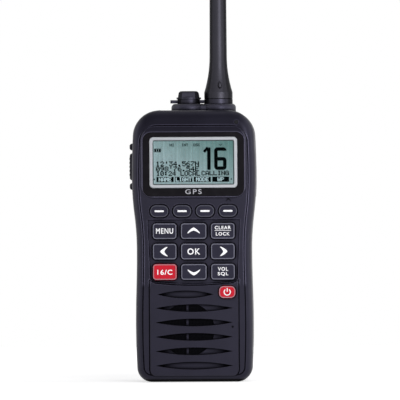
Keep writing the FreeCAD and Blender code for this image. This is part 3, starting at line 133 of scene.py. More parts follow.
class Graph:
    """A node tree, with short ways to add and join nodes."""

    def __init__(self, block: Block, output: str) -> None:
        """Starts an empty tree.

        Args:
            block: The material or world that it belongs to.
            output: Its output node's type.
        """
        block.use_nodes = True
        self.block = block
        self.tree = block.node_tree
        self.tree.nodes.clear()
        self.output = self.add(output)

    def add(self, kind: str, **settings: object) -> Node:
        """Adds a node.

        Args:
            kind: The node's type, without its ShaderNode prefix.
            settings: Properties by name, or sockets by their label with _ for a space, each
                with a plain value or the socket that feeds it.

        Returns:
            The new node.
        """
        node = self.tree.nodes.new(f"ShaderNode{kind}")
        for key, value in settings.items():
            if hasattr(node, key):
                setattr(node, key, value)
            else:
                self.join(value, node.inputs[key.replace("_", " ")])
        return node

    def join(self, source: object, target: Socket) -> None:
        """Feeds a socket from another, or gives it a plain value."""
        if isinstance(source, Socket):
            self.tree.links.new(source, target)
        else:
            target.default_value = source

    def reckon(self, operation: str, *terms: Socket | float) -> Socket:
        """Works a value out of others.

        Args:
            operation: What is done, as the Math node calls it.
            terms: What it is done to.

        Returns:
            The result's socket.
        """
        node = self.add("Math", operation=operation)
        for term, slot in zip(terms, node.inputs):
            self.join(term, slot)
        return node.outputs["Value"]

    def span(self, source: Socket, *limits: Socket | float) -> Socket:
        """Maps one range of a value to another, and holds it beyond both ends.

        Args:
            source: The value.
            limits: Where its range starts and ends, and what these become.

        Returns:
            The mapped value's socket.
        """
        node = self.add("MapRange")
        for term, slot in zip((source, *limits), node.inputs):
            self.join(term, slot)
        return node.outputs["Result"]

    def spot(self) -> Socket:
        """Where a point is in the piece's own axes."""
        return self.add("TexCoord").outputs["Object"]

    def place(self, axis: str) -> Socket:
        """Where a point is along one axis of the piece, in metres."""
        return self.add("SeparateXYZ", Vector=self.spot()).outputs[axis]

    def ramp(self, source: Socket, *stops: tuple[float, Colour]) -> Socket:
        """Turns a value into a colour.

        Args:
            source: The value.
            stops: Pairs of a value and its colour.

        Returns:
            The colour's socket.
        """
        node = self.add("ValToRGB", Fac=source)
        for element, (place, colour) in zip(node.color_ramp.elements, stops):
            element.position = place
            element.color = (*colour, 1.0)
        return node.outputs["Color"]

    def noise(self, scale: float, detail: float, stretch: Triple = (1.0, 1.0, 1.0)) -> Socket:
        """Adds noise over the piece's own coordinates.

        Args:
            scale: Features per metre.
            detail: Octaves.
            stretch: Scale along each axis.

        Returns:
            The noise's socket.
        """
        spot = self.add("Mapping", Vector=self.spot(), Scale=stretch).outputs["Vector"]
        return self.add("TexNoise", Vector=spot, Scale=scale, Detail=detail).outputs["Fac"]

    def spread(self, source: Socket, low: float, high: float) -> Socket:
        """Maps the usual range of noise to another."""
        return self.span(source, 0.3, 0.7, low, high)

    def bump(self, height: Socket, distance: float, strength: float) -> Socket:
        """Bends the surface's normal by a height, at a depth in metres and a strength."""
        node = self.add("Bump", Height=height, Distance=distance, Strength=strength)
        return node.outputs["Normal"]

    def dip(self, axis: str, band: Four, high: float, low: float) -> Socket:
        """A value that falls and rises again along an axis of the piece.

        Args:
            axis: X, Y or Z.
            band: Where it starts to fall, is low, starts to rise and is high again.
            high: The value outside.
            low: The value inside.

        Returns:
            The value's socket.
        """
        fall = self.span(self.place(axis), *band[:2], high, low)
        rise = self.span(self.place(axis), *band[2:], low, high)
        return self.reckon("MAXIMUM", fall, rise)

    def painted_shade_and_highlight(self, reach: float, lip: float, painted_highlight: float) -> Socket:
        """A level that falls in crevices and rises on front edges: painted shade and a painted
        highlight.

        Args:
            reach: How close other surfaces count, in metres.
            lip: How close an edge counts, in metres.
            painted_highlight: What an open edge adds.

        Returns:
            The level's socket, 1 away from both.
        """
        near = self.add("AmbientOcclusion", samples=8, Distance=reach).outputs["AO"]
        bend = self.add("VectorMath", operation="DOT_PRODUCT")
        self.join(self.add("Bevel", samples=8, Radius=lip).outputs["Normal"], bend.inputs[0])
        self.join(self.add("NewGeometry").outputs["Normal"], bend.inputs[1])
        above = self.span(self.place("Z"), *GRILLE_TOP, 0.0, painted_highlight)
        front = self.span(self.place("Y"), *FRONT_EDGE, painted_highlight, 0.0)
        most = self.reckon("MINIMUM", above, front)
        shade_ends = self.span(self.place("Z"), *GRILLE_TOP, *SHADE_ENDS)
        return self.reckon(
            "MULTIPLY_ADD",
            self.span(near, *OPEN, 0.0, 1.0),
            self.span(bend.outputs["Value"], *EDGE_HIGHLIGHT_BEND, 0.0, most),
            self.span(near, DEEP, shade_ends, CREVICE_SHADE, 1.0),
        )

    def seen_rays(self) -> Socket:
        """Tells rays that the camera sees, straight or by way of metal, gloss or glass.

        Returns:
            A socket that is 1 for such a ray.
        """
        path = self.add("LightPath").outputs
        straight = self.reckon("MAXIMUM", path["Is Camera Ray"], path["Is Glossy Ray"])
        return self.reckon("MAXIMUM", straight, path["Is Transmission Ray"])

    def surface(self, kind: str, **settings: object) -> Block:
        """Ends the tree with a shader.

        Args:
            kind: The shader's type.
            settings: Its properties and sockets, as for any node.

        Returns:
            The material or world.
        """
        shader = self.add(kind, **settings)
        self.join(shader.outputs[0], self.output.inputs["Surface"])
        return self.block


def shaded(colour: Colour, share: float) -> Colour:
    """A colour at a share of its strength."""
    return tuple(c * share for c in colour)


@dataclass(frozen=True)
class Finish:
    """What every finish has: a name and a way to make its material once."""

    name: str

    def build(self) -> bpy.types.Material:
        """Makes the material's nodes."""
        raise NotImplementedError

    def graph(self) -> Graph:
        """An empty tree in a new material of this name."""
        return Graph(bpy.data.materials.new(f"{self.name}_finish"), "OutputMaterial")

    def material(self) -> bpy.types.Material:
        """The material, made on first use."""
        return bpy.data.materials.get(f"{self.name}_finish") or self.build()


@dataclass(frozen=True)
class Moulding(Finish):
    """Moulded plastic or rubber with a spark-eroded grain, mottling, painted crevice shade and
    edge highlight.
    """

    colour: Colour
    roughness: float = 0.45
    specular: float = 0.24
    grain: float = 2600.0
    depth: float = 0.00002
    strength: float = 0.35
    mottle: float = 0.12
    sheen_tint: Colour = (0.72, 0.7, 1.0)
    # How far the painted shade in crevices reaches, how close an edge counts for the painted
    # highlight, and how bright that highlight is.
    reach: float = 0.0021
    lip: float = 0.0009
    painted_edge_highlight: float = 3.0
    brow: float = 1.0
    edge_gloss: float = 1.0
    crest: float = 1.0

    def build(self) -> bpy.types.Material:
        """Makes the grained plastic.

        Returns:
            The material.
        """
        graph = self.graph()
        # Painted shade in crevices and a painted highlight on front edges, which scale the colour
        # and the gloss.
        shade = graph.painted_shade_and_highlight(self.reach, self.lip, self.painted_edge_highlight)
        dark, light = (shaded(self.colour, 1 + side * self.mottle) for side in (-1, 1))
        tint = graph.ramp(graph.noise(90.0, 4.0), (0.35, dark), (0.65, light))
        painted_light_tint = graph.add("VectorMath", operation="SCALE", Vector=tint, Scale=shade)
        varied = min(self.brow, self.edge_gloss) < 1.0
        return graph.surface(
            "BsdfPrincipled",
            Base_Color=painted_light_tint.outputs["Vector"],
            Roughness=graph.spread(
                graph.noise(160.0, 5.0), self.roughness - 0.05, self.roughness + 0.06
            ),
            Specular_IOR_Level=self.gloss(graph, shade) if varied else self.specular,
            Specular_Tint=(*self.sheen_tint, 1.0),
            Normal=graph.bump(graph.noise(self.grain, 2.0), self.depth, self.strength),
        )

    def gloss(self, graph: Graph, shade: Socket) -> Socket:
        """Scales gloss by painted shade and highlight, lower on forehead, sides and turning edges.

        Args:
            graph: The material's nodes.
            shade: The level of painted shade and highlight.

        Returns:
            The level of the gloss.
        """
        low = self.specular * self.brow
        sides = graph.dip("X", SIDES, self.specular, low)
        band = graph.reckon("MAXIMUM", sides, graph.dip("Z", FOREHEAD, self.specular, low))
        level = graph.reckon("MULTIPLY", shade, band)
        rings = graph.span(graph.place("Z"), *RINGS, 1.0, self.crest)
        level = graph.reckon("MULTIPLY", level, rings)
        if self.edge_gloss < 1.0:
            facing = graph.add("LayerWeight", Blend=0.5).outputs["Facing"]
            fade = graph.span(facing, *TURNING, 1.0, self.edge_gloss)
            level = graph.reckon("MULTIPLY", level, fade)
        return level


@dataclass(frozen=True)
class Polished(Finish):
    """Glossy black or coloured plastic with a clear hard coat and faint dust."""

    colour: Colour
    roughness: float = 0.12
    coat: float = 0.6
    specular: float = 0.5

    def build(self) -> bpy.types.Material:
        """Makes the polished plastic.

        Returns:
            The material.
        """
        graph = self.graph()
        haze = graph.noise(220.0, 6.0)
        dusty = tuple(c * 1.25 + 0.002 for c in self.colour)
        return graph.surface(
            "BsdfPrincipled",
            Base_Color=graph.ramp(haze, (0.4, self.colour), (0.8, dusty)),
            Roughness=graph.spread(haze, self.roughness, self.roughness + 0.08),
            Specular_IOR_Level=self.specular,
            Coat_Weight=self.coat,
            Coat_Roughness=0.06,
        )


@dataclass(frozen=True)
class Metal(Finish):
    """Plated or painted metal with fine drawn lines."""

    colour: Colour
    metallic: float = 1.0
    roughness: float = 0.32
    lines: Triple = (1.0, 1.0, 30.0)
    scratch: float = 0.15

    def build(self) -> bpy.types.Material:
        """Makes the drawn metal.

        Returns:
            The material.
        """
        graph = self.graph()
        drawn = graph.noise(300.0, 3.0, self.lines)
        dull = shaded(self.colour, 0.88)
        return graph.surface(
            "BsdfPrincipled",
            Base_Color=graph.ramp(drawn, (0.35, dull), (0.65, self.colour)),
            Metallic=self.metallic,
            Roughness=graph.spread(drawn, self.roughness - 0.06, self.roughness + 0.08),
            Normal=graph.bump(drawn, 0.00001, self.scratch),
        )


@dataclass(frozen=True)
class Printed(Finish):
    """Printed ink or a translucent moulded outline, faintly uneven, with a painted glow where one
    is set.
    """

    colour: Colour
    roughness: float = 0.5
    # Emission that lightens the ink whatever the light: painted glow.
    glow: float = 0.0
    specular: float = 0.12

    def build(self) -> bpy.types.Material:
        """Makes the ink.

        Returns:
            The material.
        """
        graph = self.graph()
        worn = shaded(self.colour, 0.93)
        return graph.surface(
            "BsdfPrincipled",
            Base_Color=graph.ramp(graph.noise(900.0, 2.0), (0.3, worn), (0.6, self.colour)),
            Roughness=self.roughness,
            Specular_IOR_Level=self.specular,
            Emission_Color=(*self.colour, 1.0),
            Emission_Strength=self.glow,
        )


@dataclass(frozen=True)
class CrystalGlass(Finish):
    """The display cell: pale green, a little darker towards one upper corner, with a painted glow.
    """

    low: Colour
    high: Colour
    bottom: float
    top: float
    lean: float = 0.5
    # Emission of the cell's own tint, lightening it whatever the light: painted glow.
    glow: float = 0.45

    def build(self) -> bpy.types.Material:
        """Makes the shaded cell.

        Returns:
            The material.
        """
        graph = self.graph()
        slope = graph.reckon("MULTIPLY_ADD", graph.place("X"), self.lean, graph.place("Z"))
        share = graph.span(slope, self.bottom, self.top, 0.0, 1.0)
        tint = graph.ramp(share, (0.0, self.low), (1.0, self.high))
        return graph.surface(
            "BsdfPrincipled",
            Base_Color=tint,
            Roughness=0.35,
            Specular_IOR_Level=0.1,
            Emission_Color=tint,
            Emission_Strength=self.glow,
        )


@dataclass(frozen=True)
class ClearSheet(Finish):
    """A clear cover that shows what is behind it, with a soft gloss."""

    alpha: float = 0.12

    def build(self) -> bpy.types.Material:
        """Makes the cover."""
        graph = self.graph()
        return graph.surface(
            "BsdfPrincipled",
            Base_Color=(0.01, 0.02, 0.02, 1.0),
            Roughness=graph.spread(graph.noise(150.0, 4.0), 0.04, 0.1),
            Specular_IOR_Level=0.05,
            Alpha=self.alpha,
        )


@dataclass(frozen=True)
class WovenMesh(Finish):
    """Black dust cloth: a fine square weave with darker holes."""

    colour: Colour
    pitch: float = 0.0007

    def build(self) -> bpy.types.Material:
        """Makes the weave.

        Returns:
            The material.
        """
        graph = self.graph()
        turns = [graph.reckon("MULTIPLY", graph.place(a), math.tau / self.pitch) for a in "XZ"]
        weave = graph.reckon("MAXIMUM", *(graph.reckon("SINE", turn) for turn in turns))
        hole = shaded(self.colour, 0.1)
        return graph.surface(
            "BsdfPrincipled",
            Base_Color=graph.ramp(weave, (0.1, hole), (0.55, self.colour)),
            Roughness=0.8,
            Specular_IOR_Level=0.04,
            Normal=graph.bump(weave, 0.0001, 0.8),
        )


CASE_PLASTIC = Moulding("case_plastic", (0.0124, 0.0116, 0.0188), roughness=0.4, brow=0.3)
REAR_PLASTIC = Moulding(
    "rear_plastic", (0.0116, 0.011, 0.0168), 0.44, strength=0.5, edge_gloss=0.6, crest=2.4
)
PACK_PLASTIC = Moulding("pack_plastic", (0.0112, 0.0108, 0.016), roughness=0.5, strength=0.6)
CLIP_PLASTIC = Moulding("clip_plastic", (0.008, 0.008, 0.0104), roughness=0.4)
KEY_RUBBER = Moulding("key_rubber", (0.018, 0.0175, 0.029), 0.6, 0.22, grain=3400.0)
RED_RUBBER = Moulding("red_rubber", (0.74, 0.016, 0.032), 0.55, 0.2, grain=3400.0)
SIDE_RUBBER = Moulding("side_rubber", (0.0066, 0.0066, 0.0086), 0.5, 0.16, reach=0.0007)
SOFT_RUBBER = Moulding("soft_rubber", (0.022, 0.0215, 0.0255), 0.5)
CAP_RUBBER = Moulding("cap_rubber", (0.012, 0.0117, 0.0145), 0.42, 0.5, edge_gloss=0.15)
STRAP_RUBBER = Moulding("strap_rubber", (0.0075, 0.0072, 0.009), 0.4, 0.55, edge_gloss=0.08)
AERIAL_RUBBER = Moulding(
    "aerial_rubber", (0.0062, 0.006, 0.0076), 0.4, 0.54, edge_gloss=0.14, sheen_tint=(0.82, 0.8, 1)
)
BLACK_PLASTIC = Moulding("black_plastic", (0.008, 0.008, 0.0096), roughness=0.4)
BOARD = Moulding("circuit_board", (0.02, 0.11, 0.05), roughness=0.35, grain=1200.0, mottle=0.3)
CERAMIC = Moulding("ceramic", (0.55, 0.5, 0.4), roughness=0.6)
WINDOW_BLACK = Polished("window_black", (0.0075, 0.0065, 0.009), 0.2, coat=0.0, specular=0.06)
LAMP = Polished("lamp", (0.55, 0.58, 0.6), roughness=0.2)
STATUS_LAMP = Polished("status_lamp_tint", (0.012, 0.012, 0.016), 0.15, coat=0.0, specular=0.15)
CELL_WRAP = Polished("cell_wrap", (0.12, 0.16, 0.3), roughness=0.25)
LIGHT_GUIDE = Polished("light_guide", (0.7, 0.7, 0.66), roughness=0.3)
BEZEL = Metal("bezel_silver", (0.5, 0.52, 0.56), metallic=0.2, roughness=0.4, scratch=0.05)
STEEL = Metal("steel", (0.5, 0.5, 0.52))
BRASS = Metal("brass", (0.72, 0.5, 0.22))
# The legend and the label glow a little: painted light.
LEGEND = Printed("legend_white", (0.86, 0.86, 0.88), glow=0.4)
LABEL = Printed("label_grey", (0.42, 0.42, 0.46), glow=0.25)
KEY_OUTLINE = Printed("key_outline", (0.2, 0.2, 0.26), roughness=0.4)
SOFT_OUTLINE = Printed("soft_outline", (0.09, 0.09, 0.12), roughness=0.4)
RED_OUTLINE = Printed("red_outline", (0.55, 0.26, 0.3), roughness=0.4)
SEGMENT = Printed("segment_ink", (0.0005, 0.0015, 0.002), roughness=0.6, specular=0.0)
MARK_BLACK = Printed("mark_black", (0.002, 0.002, 0.003), specular=0.02)
# The dark ring inside the display's frame is painted shade.
DISPLAY_EDGE_SHADE = Printed("display_edge_shade", (0.04, 0.06, 0.06), roughness=0.6)
# The display cell glows a little: painted light.
CRYSTAL = CrystalGlass("crystal_cell", (0.4, 0.54, 0.57), (0.15, 0.31, 0.3), 0.1055, 0.13)
CLEAR = ClearSheet("clear_cover")
DUST_CLOTH = WovenMesh("dust_cloth", (0.004, 0.004, 0.006))


@dataclass(frozen=True)
class KeyLook:
    """A key's rubber, the line round its face and that line's slot name."""

    rubber: Finish
    line: Finish
    slot: str = "key_rubber"


class KeyKind(Enum):
    """The kinds of key."""

    PLAIN = KeyLook(KEY_RUBBER, KEY_OUTLINE)
    SOFT = KeyLook(KEY_RUBBER, SOFT_OUTLINE)
    RED = KeyLook(RED_RUBBER, RED_OUTLINE, "key_red")
    SIDE = KeyLook(SIDE_RUBBER, KEY_OUTLINE)

    @classmethod
    def of(cls, node: str) -> KeyKind | None:
        """The kind of key that a node is.

        Args:
            node: Its name.

        Returns:
            The kind, or None for any other node.
        """
        if node in ("channel_key", "power_key"):
            return cls.RED
        if node in ("talk_key", "upper_side_key", "lower_side_key"):
            return cls.SIDE
        if node.startswith("soft_key"):
            return cls.SOFT
        return cls.PLAIN if node.endswith("_key") else None


# ------------------------------------------------------------------ modelling


def activate(*pieces: Piece) -> None:
    """Selects some pieces and nothing else.

    Args:
        pieces: The pieces, the first of which becomes active.
    """
    bpy.ops.object.select_all(action="DESELECT")
    for piece in pieces:
        piece.select_set(True)
    bpy.context.view_layer.objects.active = pieces[0]


@contextmanager
def editing(piece: Piece) -> Iterator[None]:
    """Holds a piece in edit mode, with its whole mesh selected at first.

    Args:
        piece: The piece.
    """
    activate(piece)
    bpy.ops.object.mode_set(mode="EDIT")
    bpy.ops.mesh.select_all(action="SELECT")
    yield
    bpy.ops.object.mode_set(mode="OBJECT")


def moved(piece: Piece, change: Matrix) -> Piece:
    """Moves, turns or scales a piece within its mesh, so that its origin stays.

    Args:
        piece: The piece.
        change: The change.

    Returns:
        The piece.
    """
    activate(piece)
    piece.matrix_world = change
    bpy.ops.object.transform_apply(location=True, rotation=True, scale=True)
    return piece


def shifted(piece: Piece, x: float, y: float) -> Piece:
    """Moves a flat piece by x and y, in metres."""
    return moved(piece, Matrix.Translation((x, y, 0.0)))


def turned(piece: Piece, degrees: float) -> Piece:
    """Turns a flat piece anticlockwise, as seen from its face."""
    return moved(piece, Matrix.Rotation(math.radians(degrees), 4, "Z"))


def fronted(piece: Piece, at: Vector) -> Piece:
    """Turns a flat piece to face forward, with its middle at a point."""
    return moved(piece, Matrix.Translation(at) @ FORWARD)


def coat(piece: Piece, finish: Finish) -> None:
    """Gives a piece one finish alone."""
    piece.data.materials.clear()
    piece.data.materials.append(finish.material())


def finished(name: str, piece: Piece, body: str, finish: Finish) -> Piece:
    """Gives a piece its name, smoothing, finish and body.

    Args:
        name: Its name.
        piece: The piece, with its place in its mesh.
        body: The body it moves with, or nothing if it is tied to none alone.
        finish: Its finish.

    Returns:
        The piece.
    """
    activate(piece)
    bpy.ops.object.shade_smooth_by_angle(angle=SMOOTH_BELOW)
    piece.name = name
    coat(piece, finish)
    if body:
        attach(piece, body)
    log.info("made %s", name)
    return piece


def merged(pieces: Sequence[Piece]) -> Piece:
    """Joins several meshes into one.

    Args:
        pieces: What to join.

    Returns:
        The first of them, which now holds them all.
    """
    activate(*pieces)
    if len(pieces) > 1:
        bpy.ops.object.join()
    return pieces[0]


def thickened(thick: float) -> None:
    """Draws the flat sheet in edit mode up to a solid.

    Args:
        thick: Its thickness.
    """
    bpy.ops.mesh.select_all(action="SELECT")
    bpy.ops.mesh.extrude_region_move(TRANSFORM_OT_translate={"value": (0, 0, thick)})
    bpy.ops.mesh.select_all(action="SELECT")
    bpy.ops.mesh.normals_make_consistent(inside=False)


def trimmed(piece: Piece, unwanted: Test) -> Piece:
    """Takes faces away from a piece.

    Args:
        piece: The piece.
        unwanted: Says from a face's middle whether it goes.

    Returns:
        The piece.
    """
    with editing(piece):
        bpy.ops.mesh.select_mode(type="FACE")
        bpy.ops.mesh.select_all(action="DESELECT")
        for face in bmesh.from_edit_mesh(piece.data).faces:
            face.select_set(unwanted(face.calc_center_median()))
        bmesh.update_edit_mesh(piece.data)
        bpy.ops.mesh.delete(type="FACE")
    return piece


def sheet(width: float, height: float, columns: int = 1, rows: int = 1) -> Piece:
    """A flat grid about the origin.

    Args:
        width: Across.
        height: Up.
        columns: Faces across.
        rows: Faces up.

    Returns:
        The grid.
    """
    bpy.ops.mesh.primitive_grid_add(x_subdivisions=columns, y_subdivisions=rows, size=1.0)
    return moved(bpy.context.object, Matrix.Diagonal((width, height, 1.0, 1.0)))


def plate(width: float, height: float, thick: float, corner: float = 0.0, steps: int = 3) -> Piece:
    """A thin rounded rectangle, flat about the origin.

    Args:
        width: Across.
        height: Up.
        thick: Its thickness, upwards.
        corner: Corner radius.
        steps: Segments in each corner.

    Returns:
        The plate.
    """
    piece = sheet(width, height)
    with editing(piece):
        if corner:
            bpy.ops.mesh.bevel(offset=corner, segments=steps, affect="VERTICES")
        thickened(thick)
    return piece


def outline_ring(width: float, height: float, band: float, thick: float, corner: float) -> Piece:
    """A raised outline round a rounded rectangle, flat about the origin.

    Args:
        width: Across its outer edge.
        height: Up its outer edge.
        band: Width of the line.
        thick: Height of the line.
        corner: Outer corner radius.

    Returns:
        The outline.
    """
    piece = sheet(width, height)
    with editing(piece):
        bpy.ops.mesh.bevel(offset=corner, segments=6, affect="VERTICES")
        bpy.ops.mesh.select_mode(type="FACE")
        bpy.ops.mesh.select_all(action="SELECT")
        bpy.ops.mesh.inset(thickness=band, depth=0.0)
        bpy.ops.mesh.delete(type="FACE")
        thickened(thick)
    return piece


def chevron(width: float, rise: float, weight: float, thick: float, bend: float = 1.25) -> Piece:
    """An arrow head that points up, thick in the middle and fine at its ends.

    Args:
        width: Across.
        rise: From the tips to the point.
        weight: Width of the arms at the middle.
        thick: Thickness of the ink.
        bend: How round the point is, from 1 for straight arms.

    Returns:
        The arrow.
    """
    piece = sheet(1.0, 1.0, 16)
    for vert in piece.data.vertices:
        across = abs(vert.co.x) * 2
        arm = weight * (1 - TIP_LOSS * across**TIP_POWER)
        vert.co.x *= width
        vert.co.y = rise * (0.5 - across**bend) + math.copysign(arm / 2, vert.co.y)
    with editing(piece):
        thickened(thick)
    return piece


def power_sign(radius: float, band: float, thick: float) -> Piece:
    """The on and off sign: a ring open at the top with an upright bar.

    Args:
        radius: Outer radius.
        band: Width of its lines.
        thick: Thickness of the ink.

    Returns:
        The sign.
    """
    ring = shifted(sheet(band, radius), radius - band / 2, -radius / 2)
    with editing(turned(ring, 90.0 - SIGN_OPEN)):
        mesh = bmesh.from_edit_mesh(ring.data)
        foot = sorted(mesh.verts, key=lambda vert: vert.co.y)[:2]
        bmesh.ops.delete(mesh, geom=foot, context="VERTS")
        bmesh.update_edit_mesh(ring.data)
        arc = math.radians(360.0 - 2 * SIGN_OPEN)
        bpy.ops.mesh.spin(steps=28, angle=arc, center=(0, 0, 0), axis=(0, 0, 1))
        thickened(thick)
    bar = plate(band, radius * 1.05, thick, band * 0.4)
    return merged((ring, shifted(bar, 0.0, radius * 0.62)))


def lettering(
    words: str, width: float, height: float, thick: float, weight: float, gap: float
) -> Piece:
    """A line of printed letters, flat about the origin and fitted to a box.

    Args:
        words: What it says.
        width: The box's width.
        height: The box's height.
        thick: The ink's thickness.
        weight: How far the strokes are thickened, as a share of the letters' size.
        gap: Spacing between letters.

    Returns:
        The lettering.
    """
    bpy.ops.object.text_add(location=(0, 0, 0))
    text = bpy.context.object.data
    text.body = words
    text.space_character = gap
    text.resolution_u = 4
    bpy.ops.object.convert(target="MESH")
    piece = bpy.context.object
    with editing(piece):
        bpy.ops.mesh.remove_doubles(threshold=0.0005)
        thickened(0.05)
        bpy.ops.transform.shrink_fatten(value=weight)
    spots = [vert.co for vert in piece.data.vertices]
    low, high = (Vector(end(s[i] for s in spots) for i in range(3)) for end in (min, max))
    size = high - low
    fit = Matrix.Diagonal((width / size.x, height / size.y, thick / size.z, 1.0))
    middle = (low + high) / 2
    return moved(piece, fit @ Matrix.Translation((-middle.x, -middle.y, -low.z)))


def copied(node: Piece) -> Piece:
    """Copies one of the model's own pieces and merges its loose triangles.

    Args:
        node: The piece.

    Returns:
        The copy.
    """
    copy = bpy.data.objects.new(node.name, node.data.copy())
    bpy.context.collection.objects.link(copy)
    with editing(copy):
        bpy.ops.mesh.remove_doubles(threshold=1e-6)
    return copy


@dataclass
class Box:
    """The box round one of the model's nodes."""

    node: str

    def __post_init__(self) -> None:
        """Measures the node."""
        self.low, self.high = (Vector(corner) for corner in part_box(self.node))
        self.size = self.high - self.low
        self.middle = (self.low + self.high) / 2
        self.front = Vector((self.middle.x, self.low.y, self.middle.z))


# ------------------------------------------------------------------ sub-assemblies


@dataclass(frozen=True)
class SoftBox:
    """A soft lamp that looks at the radio."""

    name: str
    place: Triple
    size: Pair
    watts: float

    def build(self, aim: Vector) -> None:
        """Hangs the lamp so that it looks at a point."""
        bpy.ops.object.light_add(type="AREA", location=self.place)
        lamp = bpy.context.object
        lamp.name = self.name
        lamp.data.shape = "RECTANGLE"
        lamp.data.size, lamp.data.size_y = self.size
        lamp.data.energy = self.watts
        lamp.rotation_euler = (aim - Vector(self.place)).to_track_quat("-Z", "Y").to_euler()


@dataclass
class Studio:
    """Pale floor, soft lamps and a long-lens camera a little to the radio's right."""

    azimuth: float = 1.75
    roll: float = -0.33
    distance: float = 2.6
    view_width: float = 0.2013
    sensor: float = 36.0
    aim: Vector = field(default_factory=lambda: Vector((0.0027, 0.0, 0.091)))
    floor_size: float = 1.2
    floor_level: float = -0.0002
    fill: float = 0.12
    lamps: tuple[SoftBox, ...] = (
        SoftBox("front_box", (0.46, -1.14, 0.3), (0.6, 0.5), 4.7),
        SoftBox("near_box", (0.16, -0.29, 0.09), (0.1, 0.1), 0.27),
        SoftBox("left_strip", (-0.8, -0.1, 0.2), (0.3, 0.9), 1.5),
        SoftBox("right_strip", (0.8, -0.05, 0.25), (0.3, 0.9), 2.2),
        SoftBox("top_box", (0.1, -0.1, 1.0), (0.7, 0.5), 1.5),
    )

    def floor(self) -> None:
        """Lays a white floor that keeps the radio's shadow and fades to white."""
        bpy.ops.mesh.primitive_plane_add(size=self.floor_size, location=(0, 0, self.floor_level))
        floor = bpy.context.object
        floor.name = "studio_floor"
        graph = Graph(bpy.data.materials.new("floor_white_finish"), "OutputMaterial")
        away = graph.add("VectorMath", operation="LENGTH", Vector=graph.spot()).outputs["Value"]
        fade = graph.span(away, 0.1, 0.4, 0.66, 1.0)
        glow = graph.reckon("MULTIPLY", graph.seen_rays(), fade)
        white = graph.surface(
            "BsdfPrincipled",
            Base_Color=(0.86, 0.86, 0.87, 1.0),
            Roughness=1.0,
            Specular_IOR_Level=0.0,
            Emission_Strength=glow,
        )
        floor.data.materials.append(white)
        floor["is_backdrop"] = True

    def world(self) -> None:
        """Lights all round evenly, and shows white behind."""
        graph = Graph(bpy.data.worlds.new("studio_world"), "OutputWorld")
        strength = graph.span(graph.seen_rays(), 0.0, 1.0, self.fill, 1.0)
        white = (1.0, 1.0, 1.0, 1.0)
        bpy.context.scene.world = graph.surface("Background", Color=white, Strength=strength)

    def camera(self) -> None:
        """Places the camera."""
        around = math.radians(self.azimuth)
        back = Vector((math.sin(around), -math.cos(around), 0.0))
        bpy.ops.object.camera_add(location=self.aim + back * self.distance)
        camera = bpy.context.object
        tilt = Matrix.Rotation(math.radians(self.roll), 4, "Z")
        camera.rotation_euler = (Matrix.Rotation(around, 4, "Z") @ FORWARD @ tilt).to_euler()
        camera.data.sensor_width = self.sensor
        camera.data.lens = self.sensor * self.distance / self.view_width
        bpy.context.scene.camera = camera

    def build(self) -> None:
        """Sets the whole studio up."""
        bpy.context.scene.view_settings.view_transform = "Standard"
        self.floor()
        self.world()
        for lamp in self.lamps:
            lamp.build(self.aim)
        self.camera()


@dataclass
class Nodes:
    """The model's own pieces, each given its finish; any that isn't named here is steel."""

    nodes: dict[str, Piece]
    finishes: dict[Finish, tuple[str, ...]] = field(
        default_factory=lambda: {
            CASE_PLASTIC: ("front_case",),
            REAR_PLASTIC: ("rear_case",),
            PACK_PLASTIC: ("battery_case", "battery_lid"),
            CLIP_PLASTIC: ("battery_latch", "belt_clip", "clip_bracket"),
            WINDOW_BLACK: ("display_panel",),
            BEZEL: ("display_bezel",),
            CLEAR: ("display_lens",),
            CRYSTAL: ("lcd_cell",),
            LIGHT_GUIDE: ("backlight",),
            SOFT_RUBBER: ("case_seal", "keypad_mat"),
            STRAP_RUBBER: ("strap_loop", "retaining_strap"),
            CAP_RUBBER: ("jack_cap",),
            AERIAL_RUBBER: ("aerial",),
            BOARD: ("main_board", "side_board", "top_board"),
            CERAMIC: ("gps_patch",),
            DUST_CLOTH: ("speaker_mesh",),
            BLACK_PLASTIC: ("jack_socket", "side_switches", "microphone", "speaker_cone"),
            STATUS_LAMP: ("status_lamp",),
            LAMP: ("beacon_lens",),
            CELL_WRAP: ("battery_cells",),
            BRASS: ("aerial_socket", "aerial_core", "socket_nuts")
            + ("radio_contacts", "battery_terminals"),
        }
    )

    def build(self) -> None:
        """Gives every node its finish."""
        finish_of = {name: finish for finish, names in self.finishes.items() for name in names}
        for name, piece in self.nodes.items():
            kind = KeyKind.of(name)
            coat(piece, kind.value.rubber if kind else finish_of.get(name, STEEL))
        log.info("finished %d nodes", len(self.nodes))


